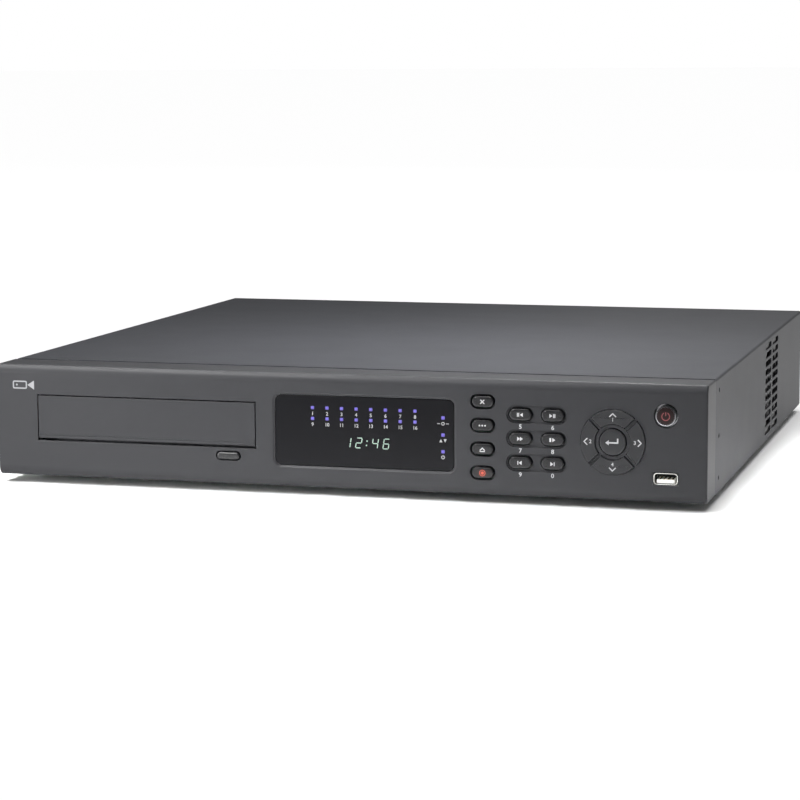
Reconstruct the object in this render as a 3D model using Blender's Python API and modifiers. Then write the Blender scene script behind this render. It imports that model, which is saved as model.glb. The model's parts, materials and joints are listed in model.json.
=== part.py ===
"""Digital video recorder in a flat desktop case: moulded front, keys, disc drive, metal case and insides.

Metres, +Z up. The front faces -Y, and +X is to the right of someone who looks at the front.
The origin is under the middle of the whole recorder, on the surface that its feet stand on.
"""

import math

import bmesh
import bpy
from mathutils import Matrix, Vector

# --- Overall sizes --------------------------------------------------------------------------------
BODY_WIDTH = 0.440
BODY_HEIGHT = 0.0687
BODY_DEPTH = 0.434
FOOT_HEIGHT = 0.005
KEY_PROUD = 0.0012
CONNECTOR_REACH = 0.0105

# --- Walls and clearances -------------------------------------------------------------------------
GAP = 0.0003
SHEET = 0.001
BEZEL_DEPTH = 0.030
BEZEL_FACE = 0.003
BEZEL_WALL = 0.0025
BEZEL_EDGE_RADIUS = 0.005
BEZEL_SIDE_RADIUS = 0.002
BOARD_THICKNESS = 0.0016
ROUND_END = 0.49  # of the height: just short of a half, so that a bar keeps a short straight end
SAME_PLACE = 1e-6
WIRE_HOLE_WIDTH = 0.050
WIRE_HOLE_HEIGHT = 0.020
WIRE_HOLE_RADIUS = 0.005

# --- Disc drive, its tray and the door on the tray ------------------------------------------------
DOOR_OPENING_WIDTH = 0.1413
DOOR_OPENING_HEIGHT = 0.0283
DOOR_FROM_LEFT = 0.0268
DOOR_OPENING_BASE = 0.0222
DOOR_GAP = 0.0006
DOOR_BOTTOM_GAP = 0.0016
DOOR_THICKNESS = 0.006
DRIVE_WIDTH = 0.146
DRIVE_HEIGHT = 0.0413
DRIVE_LENGTH = 0.170
DRIVE_FRONT = 0.012
DRIVE_WALL = 0.0015
DRIVE_BASE = 0.013
DRIVE_MOUTH_HEIGHT = 0.022
TRAY_WIDTH = 0.128
TRAY_THICKNESS = 0.006
TRAY_LENGTH = 0.158
DISC_RECESS_DIAMETER = 0.121
DISC_RECESS_DEPTH = 0.002
TRAY_SLOT_WIDTH = 0.036
TRAY_SLOT_ROUNDING = 0.4
DOOR_EASED_EDGE = 0.0004
DRIVE_RAIL_WIDTH = 0.010
EJECT_FROM_DOOR_END = 0.0176
EJECT_HEIGHT_ABOVE_BASE = 0.0173
EJECT_WIDTH = 0.0143
EJECT_DEPTH = 0.0042
EJECT_TRAVEL = 0.0012

# --- Display --------------------------------------------------------------------------------------
WINDOW_WIDTH = 0.1107
WINDOW_HEIGHT = 0.043
WINDOW_FROM_DOOR = 0.012
WINDOW_RADIUS = 0.004
WINDOW_SINK = 0.0008
WINDOW_THICKNESS = 0.002
MASK_MARGIN = 0.004
MASK_DEPTH = 0.006
CLOCK_WIDTH = 0.030
CLOCK_HEIGHT = 0.011
CLOCK_FROM_WINDOW_LEFT = 0.0589
CLOCK_BELOW_MIDDLE = 0.0064

# --- Keys -----------------------------------------------------------------------------------------
KEY_TRAVEL = 0.0008
KEY_CLEARANCE = 0.0004
KEY_RECESS_DEPTH = 0.001
KEY_RECESS_MARGIN = 0.001
KEY_FLANGE = 0.0008
KEY_FLANGE_THICKNESS = 0.001
KEY_STEM_RADIUS = 0.0015
FUNCTION_KEY_FROM_RIGHT = 0.1319
FUNCTION_KEY_WIDTH = 0.0128
FUNCTION_KEY_HEIGHT = 0.0063
FUNCTION_KEY_PITCH = 0.014
PLAY_KEYS_FROM_RIGHT = 0.0998
PLAY_KEY_WIDTH = 0.0133
PLAY_KEY_HEIGHT = 0.0068
PLAY_COLUMN_PITCH = 0.0192
PLAY_ROW_PITCH = 0.0141
PAD_FROM_RIGHT = 0.0548
PAD_OUTER_DIAMETER = 0.0378
PAD_INNER_DIAMETER = 0.0210
PAD_SPOKE = 0.0018
ENTER_DIAMETER = 0.0154
POWER_FROM_RIGHT = 0.0241
POWER_ABOVE_MIDDLE = 0.0162
POWER_DIAMETER = 0.012
SWITCH_SIDE = 0.006
SWITCH_DEPTH = 0.0035
SWITCH_PLUNGER_RADIUS = 0.00175
SWITCH_PLUNGER_DEPTH = 0.001
KEY_BOARD_SETBACK = 0.014
KEY_BOARD_LEFT_MARGIN = 0.0105

# --- Front USB socket -----------------------------------------------------------------------------
USB_FROM_RIGHT = 0.0240
USB_BELOW_MIDDLE = 0.0203
USB_WIDTH = 0.0140
USB_HEIGHT = 0.0068
USB_WALL = 0.0004
USB_TONGUE_WIDTH = 0.0104
USB_TONGUE_THICKNESS = 0.0018
USB_TONGUE_SETBACK = 0.0006
USB_RADIUS = 0.0008
USB_ROOT_DEPTH = 0.004

# --- Case -----------------------------------------------------------------------------------------
COVER_LIP = 0.009
BASE_SIDE_HEIGHT = 0.004
VENT_SLOT_LENGTH = 0.028
VENT_SLOT_HEIGHT = 0.0038
VENT_ROW_PITCH = 0.0057
VENT_COLUMN_PITCH = 0.034
VENT_ROWS = 11
VENT_COLUMNS = 2
VENT_FROM_FRONT = 0.275
FOOT_DIAMETER = 0.024
FOOT_TAPER = 0.002
FOOT_FROM_SIDE = 0.040
FOOT_FROM_FRONT = 0.065
FOOT_FROM_REAR = 0.045
SCREW_HEAD_DIAMETER = 0.0056
SCREW_HEAD_HEIGHT = 0.0018
SCREW_SHANK_DIAMETER = 0.003
SCREW_SHANK_LENGTH = 0.006
SCREW_HOLE_DIAMETER = 0.0036
COVER_SCREWS = 4
COVER_SCREW_FROM_SIDE = 0.030

# --- Inner parts ----------------------------------------------------------------------------------
HARD_DRIVE_WIDTH = 0.1016
HARD_DRIVE_LENGTH = 0.147
HARD_DRIVE_HEIGHT = 0.0261
RACK_FROM_CASE_FRONT = 0.0065
RACK_FROM_DRIVE = 0.009
RACK_WALL = 0.0015
RACK_CLEARANCE = 0.0006
MAIN_BOARD_WIDTH = 0.246
MAIN_BOARD_LENGTH = 0.224
MAIN_BOARD_FROM_RIGHT = 0.0235
MAIN_BOARD_HEIGHT = 0.007
BOARD_POST_INSET = 0.008
BOARD_POST_RADIUS = 0.003
HEAT_SINK_SIDE = 0.046
HEAT_SINK_HEIGHT = 0.018
HEAT_SINK_BASE = 0.003
HEAT_SINK_FINS = 8
HEAT_SINK_FIN = 0.0014
SUPPLY_WIDTH = 0.150
SUPPLY_LENGTH = 0.081
SUPPLY_HEIGHT = 0.040
SUPPLY_FROM_LEFT = 0.008
SUPPLY_WIRE_EXIT = (0.030, 4 * SHEET, 0.012)
SUPPLY_WIRE_EXIT_RADIUS = 0.004
SUPPLY_WIRE_EXIT_ALONG = 0.75
FAN_SIDE = 0.060
FAN_THICKNESS = 0.015
FAN_RIM = 0.0016
FAN_TIP_CLEARANCE = 0.0016
FAN_HUB_RADIUS = 0.0125
FAN_BLADES = 7
FAN_BLADE_CHORD = 0.012
FAN_BLADE_THICKNESS = 0.0012
FAN_BLADE_PITCH = math.radians(38)
FAN_STRUT = 0.003
FAN_SEAT_DEPTH = 0.98 * FAN_STRUT
FAN_CORNER_RADIUS = 0.004

# --- Rear sockets ---------------------------------------------------------------------------------
SOCKET_CLEARANCE = 0.0004
VIDEO_COLUMNS = 8
VIDEO_ROWS = 2
VIDEO_PITCH = 0.0145
VIDEO_ROW_PITCH = 0.016
VIDEO_BARREL_RADIUS = 0.0048
VIDEO_BORE_RADIUS = 0.0036
VIDEO_PIN_RADIUS = 0.001
AUDIO_COLUMNS = 3
AUDIO_PITCH = 0.013
AUDIO_BARREL_RADIUS = 0.0042
AUDIO_BORE_RADIUS = 0.0016
BARREL_ROOT = 0.002
BORE_FLOOR = 0.001
PIN_SETBACK = 0.002
CUT_BEYOND = 0.01
SOCKET_BLOCK_DEPTH = 0.014
FIRST_ROW_ABOVE_BOARD = 0.0095
MONITOR_FROM_RIGHT = 0.0935
MONITOR_WIDTH = 0.031
MONITOR_HEIGHT = 0.0125
MONITOR_PLUG_WIDTH = 0.0169
MONITOR_PLUG_HEIGHT = 0.0083
MONITOR_PLUG_LEAN = 0.18 * MONITOR_PLUG_HEIGHT
MONITOR_PLUG_REACH = 0.0055
PICTURE_FROM_RIGHT = 0.0665
PICTURE_WIDTH = 0.015
PICTURE_HEIGHT = 0.0062
PICTURE_WALL = 0.0006
PORT_REACH = 0.0008
PORT_MOUTH_DEPTH = 0.009
PORT_TONGUE_SETBACK = 0.005
PORT_TONGUE_LENGTH = 0.010
PORT_TONGUE_WIDTH = 0.7  # of the port's width
PORT_TONGUE_THICKNESS = 0.25  # of the port's height
REAR_USB_FROM_RIGHT = 0.0480
NETWORK_FROM_RIGHT = 0.0310
NETWORK_WIDTH = 0.016
NETWORK_HEIGHT = 0.0134
NETWORK_HOLE_WIDTH = 0.0118
NETWORK_HOLE_HEIGHT = 0.0082
NETWORK_HOLE_DEPTH = 0.012
TERMINALS = 10
TERMINAL_PITCH = 0.0050
TERMINAL_HEIGHT = 0.0085
TERMINAL_FROM_RIGHT = 0.0600
TERMINAL_ABOVE_MIDDLE = 0.014
TERMINAL_REACH = 0.006
TERMINAL_MOUTH_DEPTH = 0.004
TERMINAL_MOUTH_SIDE = 0.6 * TERMINAL_PITCH
TERMINAL_MOUTH_BELOW = 0.15 * TERMINAL_HEIGHT
ALARM_BOARD_SETBACK = 0.008
ALARM_BOARD_WIDTH = 0.084
ALARM_BOARD_HEIGHT = 0.026
INLET_FROM_LEFT = 0.060
INLET_WIDTH = 0.0275
INLET_HEIGHT = 0.0200
INLET_MOUTH_WIDTH = 0.0240
INLET_MOUTH_HEIGHT = 0.0160
INLET_DEPTH = 0.016
INLET_FLANGE = 0.0016
INLET_FLANGE_MARGIN = 0.002
INLET_FLANGE_RADIUS = 0.002
INLET_MOUTH_RADIUS = 0.003
INLET_FLOOR = 0.002
INLET_BLADE_WIDTH = 0.002
INLET_BLADE_HEIGHT = 0.004
INLET_BLADE_SETBACK = 0.002
INLET_BLADES = ((-0.007, -0.002), (0.007, -0.002), (0.0, 0.002))
ROCKER_FROM_LEFT = 0.095
ROCKER_FRAME_WIDTH = 0.015
ROCKER_FRAME_HEIGHT = 0.021
ROCKER_WIDTH = 0.0104
ROCKER_LENGTH = 0.0166
ROCKER_THICKNESS = 0.0045
ROCKER_TILT = math.radians(10)
ROCKER_DEPTH = 0.012
ROCKER_FLANGE_MARGIN = 0.0015
ROCKER_FLANGE_RADIUS = 0.001
ROCKER_FLOOR = 0.0015
ROCKER_PROUD = 0.0012
ROCKER_EASED_EDGE = 0.0005

# --- Places worked out from the sizes above -------------------------------------------------------
TOTAL_DEPTH = KEY_PROUD + BODY_DEPTH + CONNECTOR_REACH
FRONT_Y = KEY_PROUD - TOTAL_DEPTH / 2
REAR_Y = FRONT_Y + BODY_DEPTH
LEFT_X = -BODY_WIDTH / 2
RIGHT_X = BODY_WIDTH / 2
BASE_Z = FOOT_HEIGHT
TOP_Z = FOOT_HEIGHT + BODY_HEIGHT
MIDDLE_Z = FOOT_HEIGHT + BODY_HEIGHT / 2
CASE_FRONT_Y = FRONT_Y + BEZEL_DEPTH + GAP
PANEL_Y = REAR_Y - SHEET - GAP
PANEL_INNER_Y = PANEL_Y - SHEET
SOCKET_FACE_Y = PANEL_INNER_Y - GAP
TIP_Y = REAR_Y + CONNECTOR_REACH
FLOOR_Z = BASE_Z + SHEET

DOOR_LEFT_X = LEFT_X + DOOR_FROM_LEFT
DOOR_RIGHT_X = DOOR_LEFT_X + DOOR_OPENING_WIDTH
DOOR_MIDDLE_X = (DOOR_LEFT_X + DOOR_RIGHT_X) / 2
DOOR_BASE_Z = BASE_Z + DOOR_OPENING_BASE
DOOR_TOP_Z = DOOR_BASE_Z + DOOR_OPENING_HEIGHT
DRIVE_BASE_Z = BASE_Z + DRIVE_BASE
DRIVE_TOP_Z = DRIVE_BASE_Z + DRIVE_HEIGHT
DRIVE_FRONT_Y = FRONT_Y + DRIVE_FRONT
EJECT_X = DOOR_RIGHT_X - EJECT_FROM_DOOR_END
EJECT_Z = BASE_Z + EJECT_HEIGHT_ABOVE_BASE
TRAY_Z = DOOR_BASE_Z + DOOR_OPENING_HEIGHT / 2

WINDOW_LEFT_X = DOOR_RIGHT_X + WINDOW_FROM_DOOR
WINDOW_X = WINDOW_LEFT_X + WINDOW_WIDTH / 2
DISPLAY_BACK_Y = FRONT_Y + WINDOW_SINK + WINDOW_THICKNESS + GAP

FUNCTION_X = RIGHT_X - FUNCTION_KEY_FROM_RIGHT
PLAY_X = RIGHT_X - PLAY_KEYS_FROM_RIGHT
PAD_X = RIGHT_X - PAD_FROM_RIGHT
POWER_X = RIGHT_X - POWER_FROM_RIGHT
POWER_Z = MIDDLE_Z + POWER_ABOVE_MIDDLE
USB_X = RIGHT_X - USB_FROM_RIGHT
USB_Z = MIDDLE_Z - USB_BELOW_MIDDLE
KEY_BOARD_Y = FRONT_Y + KEY_BOARD_SETBACK
PLUNGER_Y = KEY_BOARD_Y - SWITCH_DEPTH - SWITCH_PLUNGER_DEPTH
STEM_END_Y = PLUNGER_Y - KEY_TRAVEL - GAP

MAIN_BOARD_RIGHT_X = RIGHT_X - MAIN_BOARD_FROM_RIGHT
MAIN_BOARD_LEFT_X = MAIN_BOARD_RIGHT_X - MAIN_BOARD_WIDTH
MAIN_BOARD_Z = BASE_Z + MAIN_BOARD_HEIGHT
BOARD_TOP_Z = MAIN_BOARD_Z + BOARD_THICKNESS
MAIN_BOARD_REAR_Y = SOCKET_FACE_Y
MAIN_BOARD_FRONT_Y = MAIN_BOARD_REAR_Y - MAIN_BOARD_LENGTH
SOCKET_BASE_Z = BOARD_TOP_Z + GAP
FIRST_ROW_Z = BOARD_TOP_Z + FIRST_ROW_ABOVE_BOARD
VIDEO_LEFT_X = MAIN_BOARD_LEFT_X
AUDIO_LEFT_X = VIDEO_LEFT_X + VIDEO_COLUMNS * VIDEO_PITCH + 2 * SOCKET_CLEARANCE
SUPPLY_LEFT_X = LEFT_X + SUPPLY_FROM_LEFT
SUPPLY_BASE_Z = FLOOR_Z + GAP
INLET_X = LEFT_X + INLET_FROM_LEFT
ROCKER_X = LEFT_X + ROCKER_FROM_LEFT
INLET_Z = SUPPLY_BASE_Z + SUPPLY_HEIGHT / 2
FAN_X = RIGHT_X - SHEET - GAP - FAN_THICKNESS / 2
FAN_Y = FRONT_Y + VENT_FROM_FRONT
FAN_DUCT_RADIUS = FAN_SIDE / 2 - FAN_RIM
FAN_BLADE_TIP = FAN_DUCT_RADIUS - FAN_TIP_CLEARANCE
RACK_LEFT_X = DOOR_MIDDLE_X + DRIVE_WIDTH / 2 + RACK_FROM_DRIVE
RACK_FRONT_Y = CASE_FRONT_Y + SHEET + RACK_FROM_CASE_FRONT
RACK_BAY_WIDTH = HARD_DRIVE_WIDTH + 2 * RACK_CLEARANCE
DRIVE_LIFT = HARD_DRIVE_HEIGHT + RACK_CLEARANCE + RACK_WALL


# --- Collections, materials and the ways of making a solid ----------------------------------------
def clear_scene():
    for obj in list(bpy.data.objects):
        bpy.data.objects.remove(obj, do_unlink=True)


def new_collection(name):
    made = bpy.data.collections.new(name)
    bpy.context.scene.collection.children.link(made)
    return made


def new_material(name, colour, roughness, metallic=0.0):
    made = bpy.data.materials.new(name)
    made.use_nodes = True
    shader = made.node_tree.nodes["Principled BSDF"]
    shader.inputs["Base Color"].default_value = (*colour, 1.0)
    shader.inputs["Roughness"].default_value = roughness
    shader.inputs["Metallic"].default_value = metallic
    made.diffuse_color = (*colour, 1.0)
    return made


clear_scene()
RECORDER = new_collection("video_recorder")
CUTTERS = new_collection("cutters")


def keep(obj, material):
    """Makes a solid one of the recorder's pieces."""
    RECORDER.objects.link(obj)
    obj.data.materials.append(new_material(obj.name, *material))
    return obj


def helper(obj):
    """Makes a solid a cutter, or a lump to be joined to a piece."""
    CUTTERS.objects.link(obj)
    obj.hide_render = True
    obj.display_type = "WIRE"
    return obj


def combine(piece, other, operation):
    change = piece.modifiers.new(f"{operation.lower()}_{other.name}", "BOOLEAN")
    change.operation = operation
    change.solver = "EXACT"
    change.object = helper(other)
    return piece


def cut(piece, *cutters):
    for cutter in cutters:
        combine(piece, cutter, "DIFFERENCE")
    return piece


def fuse(piece, *lumps):
    for lump in lumps:
        combine(piece, lump, "UNION")
    return piece


def solid(name, bm, place):
    """An object with its origin at a place, from a mesh built around that origin."""
    mesh = bpy.data.meshes.new(name)
    bm.to_mesh(mesh)
    bm.free()
    obj = bpy.data.objects.new(name, mesh)
    obj.location = place
    return obj


def edges_along(bm, axis):
    """The edges of a mesh that lie along one axis, given by its number."""
    found = []
    for edge in bm.edges:
        direction = (edge.verts[1].co - edge.verts[0].co).normalized()
        if abs(direction[axis]) > 1 - SAME_PLACE:
            found.append(edge)
    return found


def round_edges(bm, edges, radius, segments):
    bmesh.ops.bevel(bm, geom=edges, offset=radius, segments=segments, profile=0.5, affect="EDGES")


def block(name, low, high, radius=0.0, along="Y", segments=4):
    """A box between two corners; with a radius, its edges along one axis are rounded."""
    low = Vector(low)
    high = Vector(high)
    bm = bmesh.new()
    bmesh.ops.create_cube(bm, size=1.0)
    bmesh.ops.scale(bm, vec=high - low, verts=bm.verts)
    if radius > 0:
        round_edges(bm, edges_along(bm, "XYZ".index(along)), radius, segments)
    return solid(name, bm, (low + high) / 2)


def bar(name, centre, size, **rounding):
    """A box of a given size around a centre."""
    centre = Vector(centre)
    half = Vector(size) / 2
    return block(name, centre - half, centre + half, **rounding)


def pill(name, x, z, width, height, y_low, y_high, segments=5):
    """A bar with round ends that lies along X and stands through a stretch of Y."""
    return block(
        name,
        (x - width / 2, y_low, z - height / 2),
        (x + width / 2, y_high, z + height / 2),
        radius=height * ROUND_END,
        segments=segments,
    )


TURN_TO = {
    "X": Matrix.Rotation(math.pi / 2, 3, "Y"),
    "Y": Matrix.Rotation(math.pi / 2, 3, "X"),
    "Z": Matrix.Identity(3),
}


def rod(name, centre, radius, length, along="Y", sides=16, end_radius=None):
    """A cylinder or cone along one axis."""
    bm = bmesh.new()
    bmesh.ops.create_cone(
        bm, cap_ends=True, segments=sides, radius1=radius, radius2=end_radius or radius, depth=length
    )
    bmesh.ops.rotate(bm, verts=bm.verts, cent=(0, 0, 0), matrix=TURN_TO[along])
    return solid(name, bm, centre)


def rod_between(name, x, z, radius, y_low, y_high, sides=16):
    return rod(name, (x, (y_low + y_high) / 2, z), radius, y_high - y_low, sides=sides)


def joined(name, solids):
    """Several helper solids as one mesh, for a pattern of cutters."""
    bm = bmesh.new()
    for part in solids:
        part.data.transform(Matrix.Translation(part.location))
        bm.from_mesh(part.data)
        bpy.data.objects.remove(part)
    return solid(name, bm, (0, 0, 0))


def plate(name, points, y_low, y_high, place):
    """A flat outline in X and Z, filled and extruded along Y."""
    curve = bpy.data.curves.new(name, "CURVE")
    curve.dimensions = "2D"
    curve.fill_mode = "BOTH"
    curve.extrude = (y_high - y_low) / 2
    spline = curve.splines.new("POLY")
    spline.points.add(len(points) - 1)
    for point, (x, z) in zip(spline.points, points):
        point.co = (x, z, 0.0, 1.0)
    spline.use_cyclic_u = True
    outline = bpy.data.objects.new(name + "_outline", curve)
    bpy.context.scene.collection.objects.link(outline)
    graph = bpy.context.evaluated_depsgraph_get()
    mesh = bpy.data.meshes.new_from_object(outline.evaluated_get(graph))
    bpy.data.objects.remove(outline)
    bm = bmesh.new()
    bm.from_mesh(mesh)
    bpy.data.meshes.remove(mesh)
    bmesh.ops.remove_doubles(bm, verts=bm.verts, dist=SAME_PLACE)
    bmesh.ops.rotate(bm, verts=bm.verts, cent=(0, 0, 0), matrix=TURN_TO["Y"])
    return solid(name, bm, (place[0], (y_low + y_high) / 2, place[1]))


def arc(radius, start, end, steps):
    """Points on a circle about the middle, from one angle to another."""
    turn = (end - start) / steps
    angles = [start + turn * index for index in range(steps + 1)]
    return [(radius * math.cos(angle), radius * math.sin(angle)) for angle in angles]


# --- Colours, roughness and metal -----------------------------------------------------------------
CHARCOAL = ((0.085, 0.088, 0.095), 0.5)
GLOSSY_BLACK = ((0.008, 0.008, 0.010), 0.12)
KEY_BLACK = ((0.018, 0.018, 0.020), 0.3)
BLACK_PLASTIC = ((0.015, 0.015, 0.016), 0.5)
STEEL = ((0.55, 0.56, 0.57), 0.35, 1.0)
ZINC = ((0.60, 0.61, 0.62), 0.4, 1.0)
ALUMINIUM = ((0.75, 0.76, 0.77), 0.35, 1.0)
CIRCUIT_GREEN = ((0.02, 0.11, 0.05), 0.5)
WHITE_PLASTIC = ((0.80, 0.80, 0.78), 0.4)
TERMINAL_GREEN = ((0.03, 0.30, 0.12), 0.45)
RUBBER = ((0.02, 0.02, 0.02), 0.8)


# --- Front: where the keys are --------------------------------------------------------------------
FUNCTION_KEYS = [
    (name, FUNCTION_X, MIDDLE_Z + (1.5 - row) * FUNCTION_KEY_PITCH)
    for row, name in enumerate(("escape_key", "function_key", "shift_key", "record_key"))
]
PLAY_KEY_ROWS = (("reverse_key", "play_key"), ("fast_key", "slow_key"), ("previous_key", "next_key"))
PLAY_KEYS = [
    (name, PLAY_X + (column - 0.5) * PLAY_COLUMN_PITCH, MIDDLE_Z + (1 - row) * PLAY_ROW_PITCH)
    for row, names in enumerate(PLAY_KEY_ROWS)
    for column, name in enumerate(names)
]
ARROW_KEYS = {"right_key": 0.0, "up_key": math.pi / 2, "left_key": math.pi, "down_key": 1.5 * math.pi}
PAD_MIDDLE_RADIUS = (PAD_OUTER_DIAMETER + PAD_INNER_DIAMETER) / 4


def arrow_place(angle):
    return PAD_X + PAD_MIDDLE_RADIUS * math.cos(angle), MIDDLE_Z + PAD_MIDDLE_RADIUS * math.sin(angle)


def switch_places():
    """X and Z of every tactile switch on the key board."""
    places = [(x, z) for _, x, z in FUNCTION_KEYS + PLAY_KEYS]
    places += [arrow_place(angle) for angle in ARROW_KEYS.values()]
    return places + [(PAD_X, MIDDLE_Z), (POWER_X, POWER_Z)]


def arrow_outline(angle, margin):
    """The outline of a ring sector about the pad's middle, grown by a margin all round."""
    outer = PAD_OUTER_DIAMETER / 2 + margin
    inner = PAD_INNER_DIAMETER / 2 - margin
    edge = PAD_SPOKE / 2 - margin
    outer_cut = math.asin(edge / outer)
    inner_cut = math.asin(edge / inner)
    half = math.pi / 4
    points = arc(outer, angle - half + outer_cut, angle + half - outer_cut, 6)
    return points + arc(inner, angle + half - inner_cut, angle - half + inner_cut, 4)


# --- Front: the moulded bezel and what shows in it ------------------------------------------------
def bezel_shell():
    """The hollow moulding: rounded front edges, open at the back."""
    low = Vector((LEFT_X, FRONT_Y, BASE_Z))
    high = Vector((RIGHT_X, FRONT_Y + BEZEL_DEPTH, TOP_Z))
    shell = block("front_bezel", low, high)
    bm = bmesh.new()
    bm.from_mesh(shell.data)
    front = -BEZEL_DEPTH / 2

    def at_front(edge):
        return all(abs(vertex.co.y - front) < SAME_PLACE for vertex in edge.verts)

    level = [edge for edge in edges_along(bm, 0) if at_front(edge)]
    round_edges(bm, level, BEZEL_EDGE_RADIUS, 4)
    side = BODY_WIDTH / 2
    back = BEZEL_DEPTH / 2
    ends = [
        edge
        for edge in bm.edges
        if all(abs(abs(vertex.co.x) - side) < SAME_PLACE for vertex in edge.verts)
        and edge.verts[0].co.x * edge.verts[1].co.x > 0
        and any(vertex.co.y < back - GAP for vertex in edge.verts)
    ]
    round_edges(bm, ends, BEZEL_SIDE_RADIUS, 2)
    bm.to_mesh(shell.data)
    bm.free()
    hollow = block(
        "bezel_hollow",
        (LEFT_X + BEZEL_WALL, FRONT_Y + BEZEL_FACE, BASE_Z + BEZEL_WALL),
        (RIGHT_X - BEZEL_WALL, FRONT_Y + 2 * BEZEL_DEPTH, TOP_Z - BEZEL_WALL),
    )
    return cut(shell, hollow)


def through():
    """The stretch of Y that a cutter needs to pass through the bezel's face."""
    return FRONT_Y - BEZEL_FACE, FRONT_Y + 2 * BEZEL_FACE


def recess():
    """The stretch of Y of a recess round a key."""
    return FRONT_Y - BEZEL_FACE, FRONT_Y + KEY_RECESS_DEPTH


def make_bezel():
    bezel = keep(bezel_shell(), CHARCOAL)
    door_hole = block(
        "door_hole", (DOOR_LEFT_X, through()[0], DOOR_BASE_Z), (DOOR_RIGHT_X, through()[1], DOOR_TOP_Z)
    )
    window_hole = bar(
        "window_hole",
        (WINDOW_X, FRONT_Y, MIDDLE_Z),
        (WINDOW_WIDTH, 4 * BEZEL_FACE, WINDOW_HEIGHT),
        radius=WINDOW_RADIUS,
    )
    holes = []
    recesses = []
    for name, x, z in FUNCTION_KEYS:
        width = FUNCTION_KEY_WIDTH + 2 * KEY_CLEARANCE
        height = FUNCTION_KEY_HEIGHT + 2 * KEY_CLEARANCE
        holes.append(pill(name + "_hole", x, z, width, height, *through()))
        grown = 2 * KEY_RECESS_MARGIN
        recesses.append(pill(name + "_recess", x, z, width + grown, height + grown, *recess()))
    for name, x, z in PLAY_KEYS:
        width = PLAY_KEY_WIDTH + 2 * KEY_CLEARANCE
        height = PLAY_KEY_HEIGHT + 2 * KEY_CLEARANCE
        holes.append(pill(name + "_hole", x, z, width, height, *through()))
    for row in range(len(PLAY_KEY_ROWS)):
        z = MIDDLE_Z + (1 - row) * PLAY_ROW_PITCH
        width = PLAY_COLUMN_PITCH + PLAY_KEY_WIDTH + 2 * KEY_RECESS_MARGIN + 2 * KEY_CLEARANCE
        height = PLAY_KEY_HEIGHT + 2 * KEY_RECESS_MARGIN + 2 * KEY_CLEARANCE
        recesses.append(pill(f"play_recess_{row}", PLAY_X, z, width, height, *recess()))
    for name, angle in ARROW_KEYS.items():
        outline = arrow_outline(angle, KEY_CLEARANCE)
        holes.append(plate(name + "_hole", outline, *through(), (PAD_X, MIDDLE_Z)))
    enter_radius = ENTER_DIAMETER / 2 + KEY_CLEARANCE
    power_radius = POWER_DIAMETER / 2 + KEY_CLEARANCE
    holes.append(rod_between("enter_hole", PAD_X, MIDDLE_Z, enter_radius, *through()))
    holes.append(rod_between("power_hole", POWER_X, POWER_Z, power_radius, *through()))
    holes.append(
        pill(
            "eject_hole",
            EJECT_X,
            EJECT_Z,
            EJECT_WIDTH + 2 * KEY_CLEARANCE,
            EJECT_DEPTH + 2 * KEY_CLEARANCE,
            *through(),
        )
    )
    usb_hole = bar(
        "usb_hole",
        (USB_X, FRONT_Y, USB_Z),
        (USB_WIDTH + 2 * KEY_CLEARANCE, 4 * BEZEL_FACE, USB_HEIGHT + 2 * KEY_CLEARANCE),
    )
    cut(bezel, door_hole, window_hole, usb_hole)
    return cut(bezel, joined("key_recesses", recesses), joined("key_holes", holes))


def make_display():
    window = bar(
        "display_window",
        (WINDOW_X, FRONT_Y + WINDOW_SINK + WINDOW_THICKNESS / 2, MIDDLE_Z),
        (WINDOW_WIDTH - 2 * GAP, WINDOW_THICKNESS, WINDOW_HEIGHT - 2 * GAP),
        radius=WINDOW_RADIUS - GAP,
    )
    keep(window, GLOSSY_BLACK)
    clock_z = MIDDLE_Z - CLOCK_BELOW_MIDDLE
    mask_y = DISPLAY_BACK_Y + MASK_DEPTH / 2
    mask = bar(
        "lamp_mask",
        (WINDOW_X, mask_y, MIDDLE_Z),
        (WINDOW_WIDTH - 2 * MASK_MARGIN, MASK_DEPTH, WINDOW_HEIGHT - 2 * MASK_MARGIN),
    )
    clock_x = WINDOW_LEFT_X + CLOCK_FROM_WINDOW_LEFT
    clock_hole = bar(
        "clock_hole",
        (clock_x, mask_y, clock_z),
        (CLOCK_WIDTH + 2 * GAP, 2 * MASK_DEPTH, CLOCK_HEIGHT + 2 * GAP),
    )
    cut(keep(mask, BLACK_PLASTIC), clock_hole)
    clock = bar("clock_module", (clock_x, mask_y, clock_z), (CLOCK_WIDTH, MASK_DEPTH, CLOCK_HEIGHT))
    keep(clock, WHITE_PLASTIC)
    board_y = DISPLAY_BACK_Y + MASK_DEPTH + GAP
    board = block(
        "display_board",
        (WINDOW_X - WINDOW_WIDTH / 2 + GAP, board_y, MIDDLE_Z - WINDOW_HEIGHT / 2),
        (WINDOW_X + WINDOW_WIDTH / 2 - GAP, board_y + BOARD_THICKNESS, MIDDLE_Z + WINDOW_HEIGHT / 2),
    )
    keep(board, CIRCUIT_GREEN)


def add_key_back(key, x, z, flange, stem_end=STEM_END_Y):
    """Joins the flange that holds a key behind the bezel and the stem that meets its switch."""
    stem_start = FRONT_Y + BEZEL_FACE + GAP + KEY_FLANGE_THICKNESS / 2
    stem = rod_between(key.name + "_stem", x, z, KEY_STEM_RADIUS, stem_start, stem_end, 8)
    return fuse(key, flange, stem)


def flange_stretch():
    start = FRONT_Y + BEZEL_FACE + GAP
    return start, start + KEY_FLANGE_THICKNESS


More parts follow.
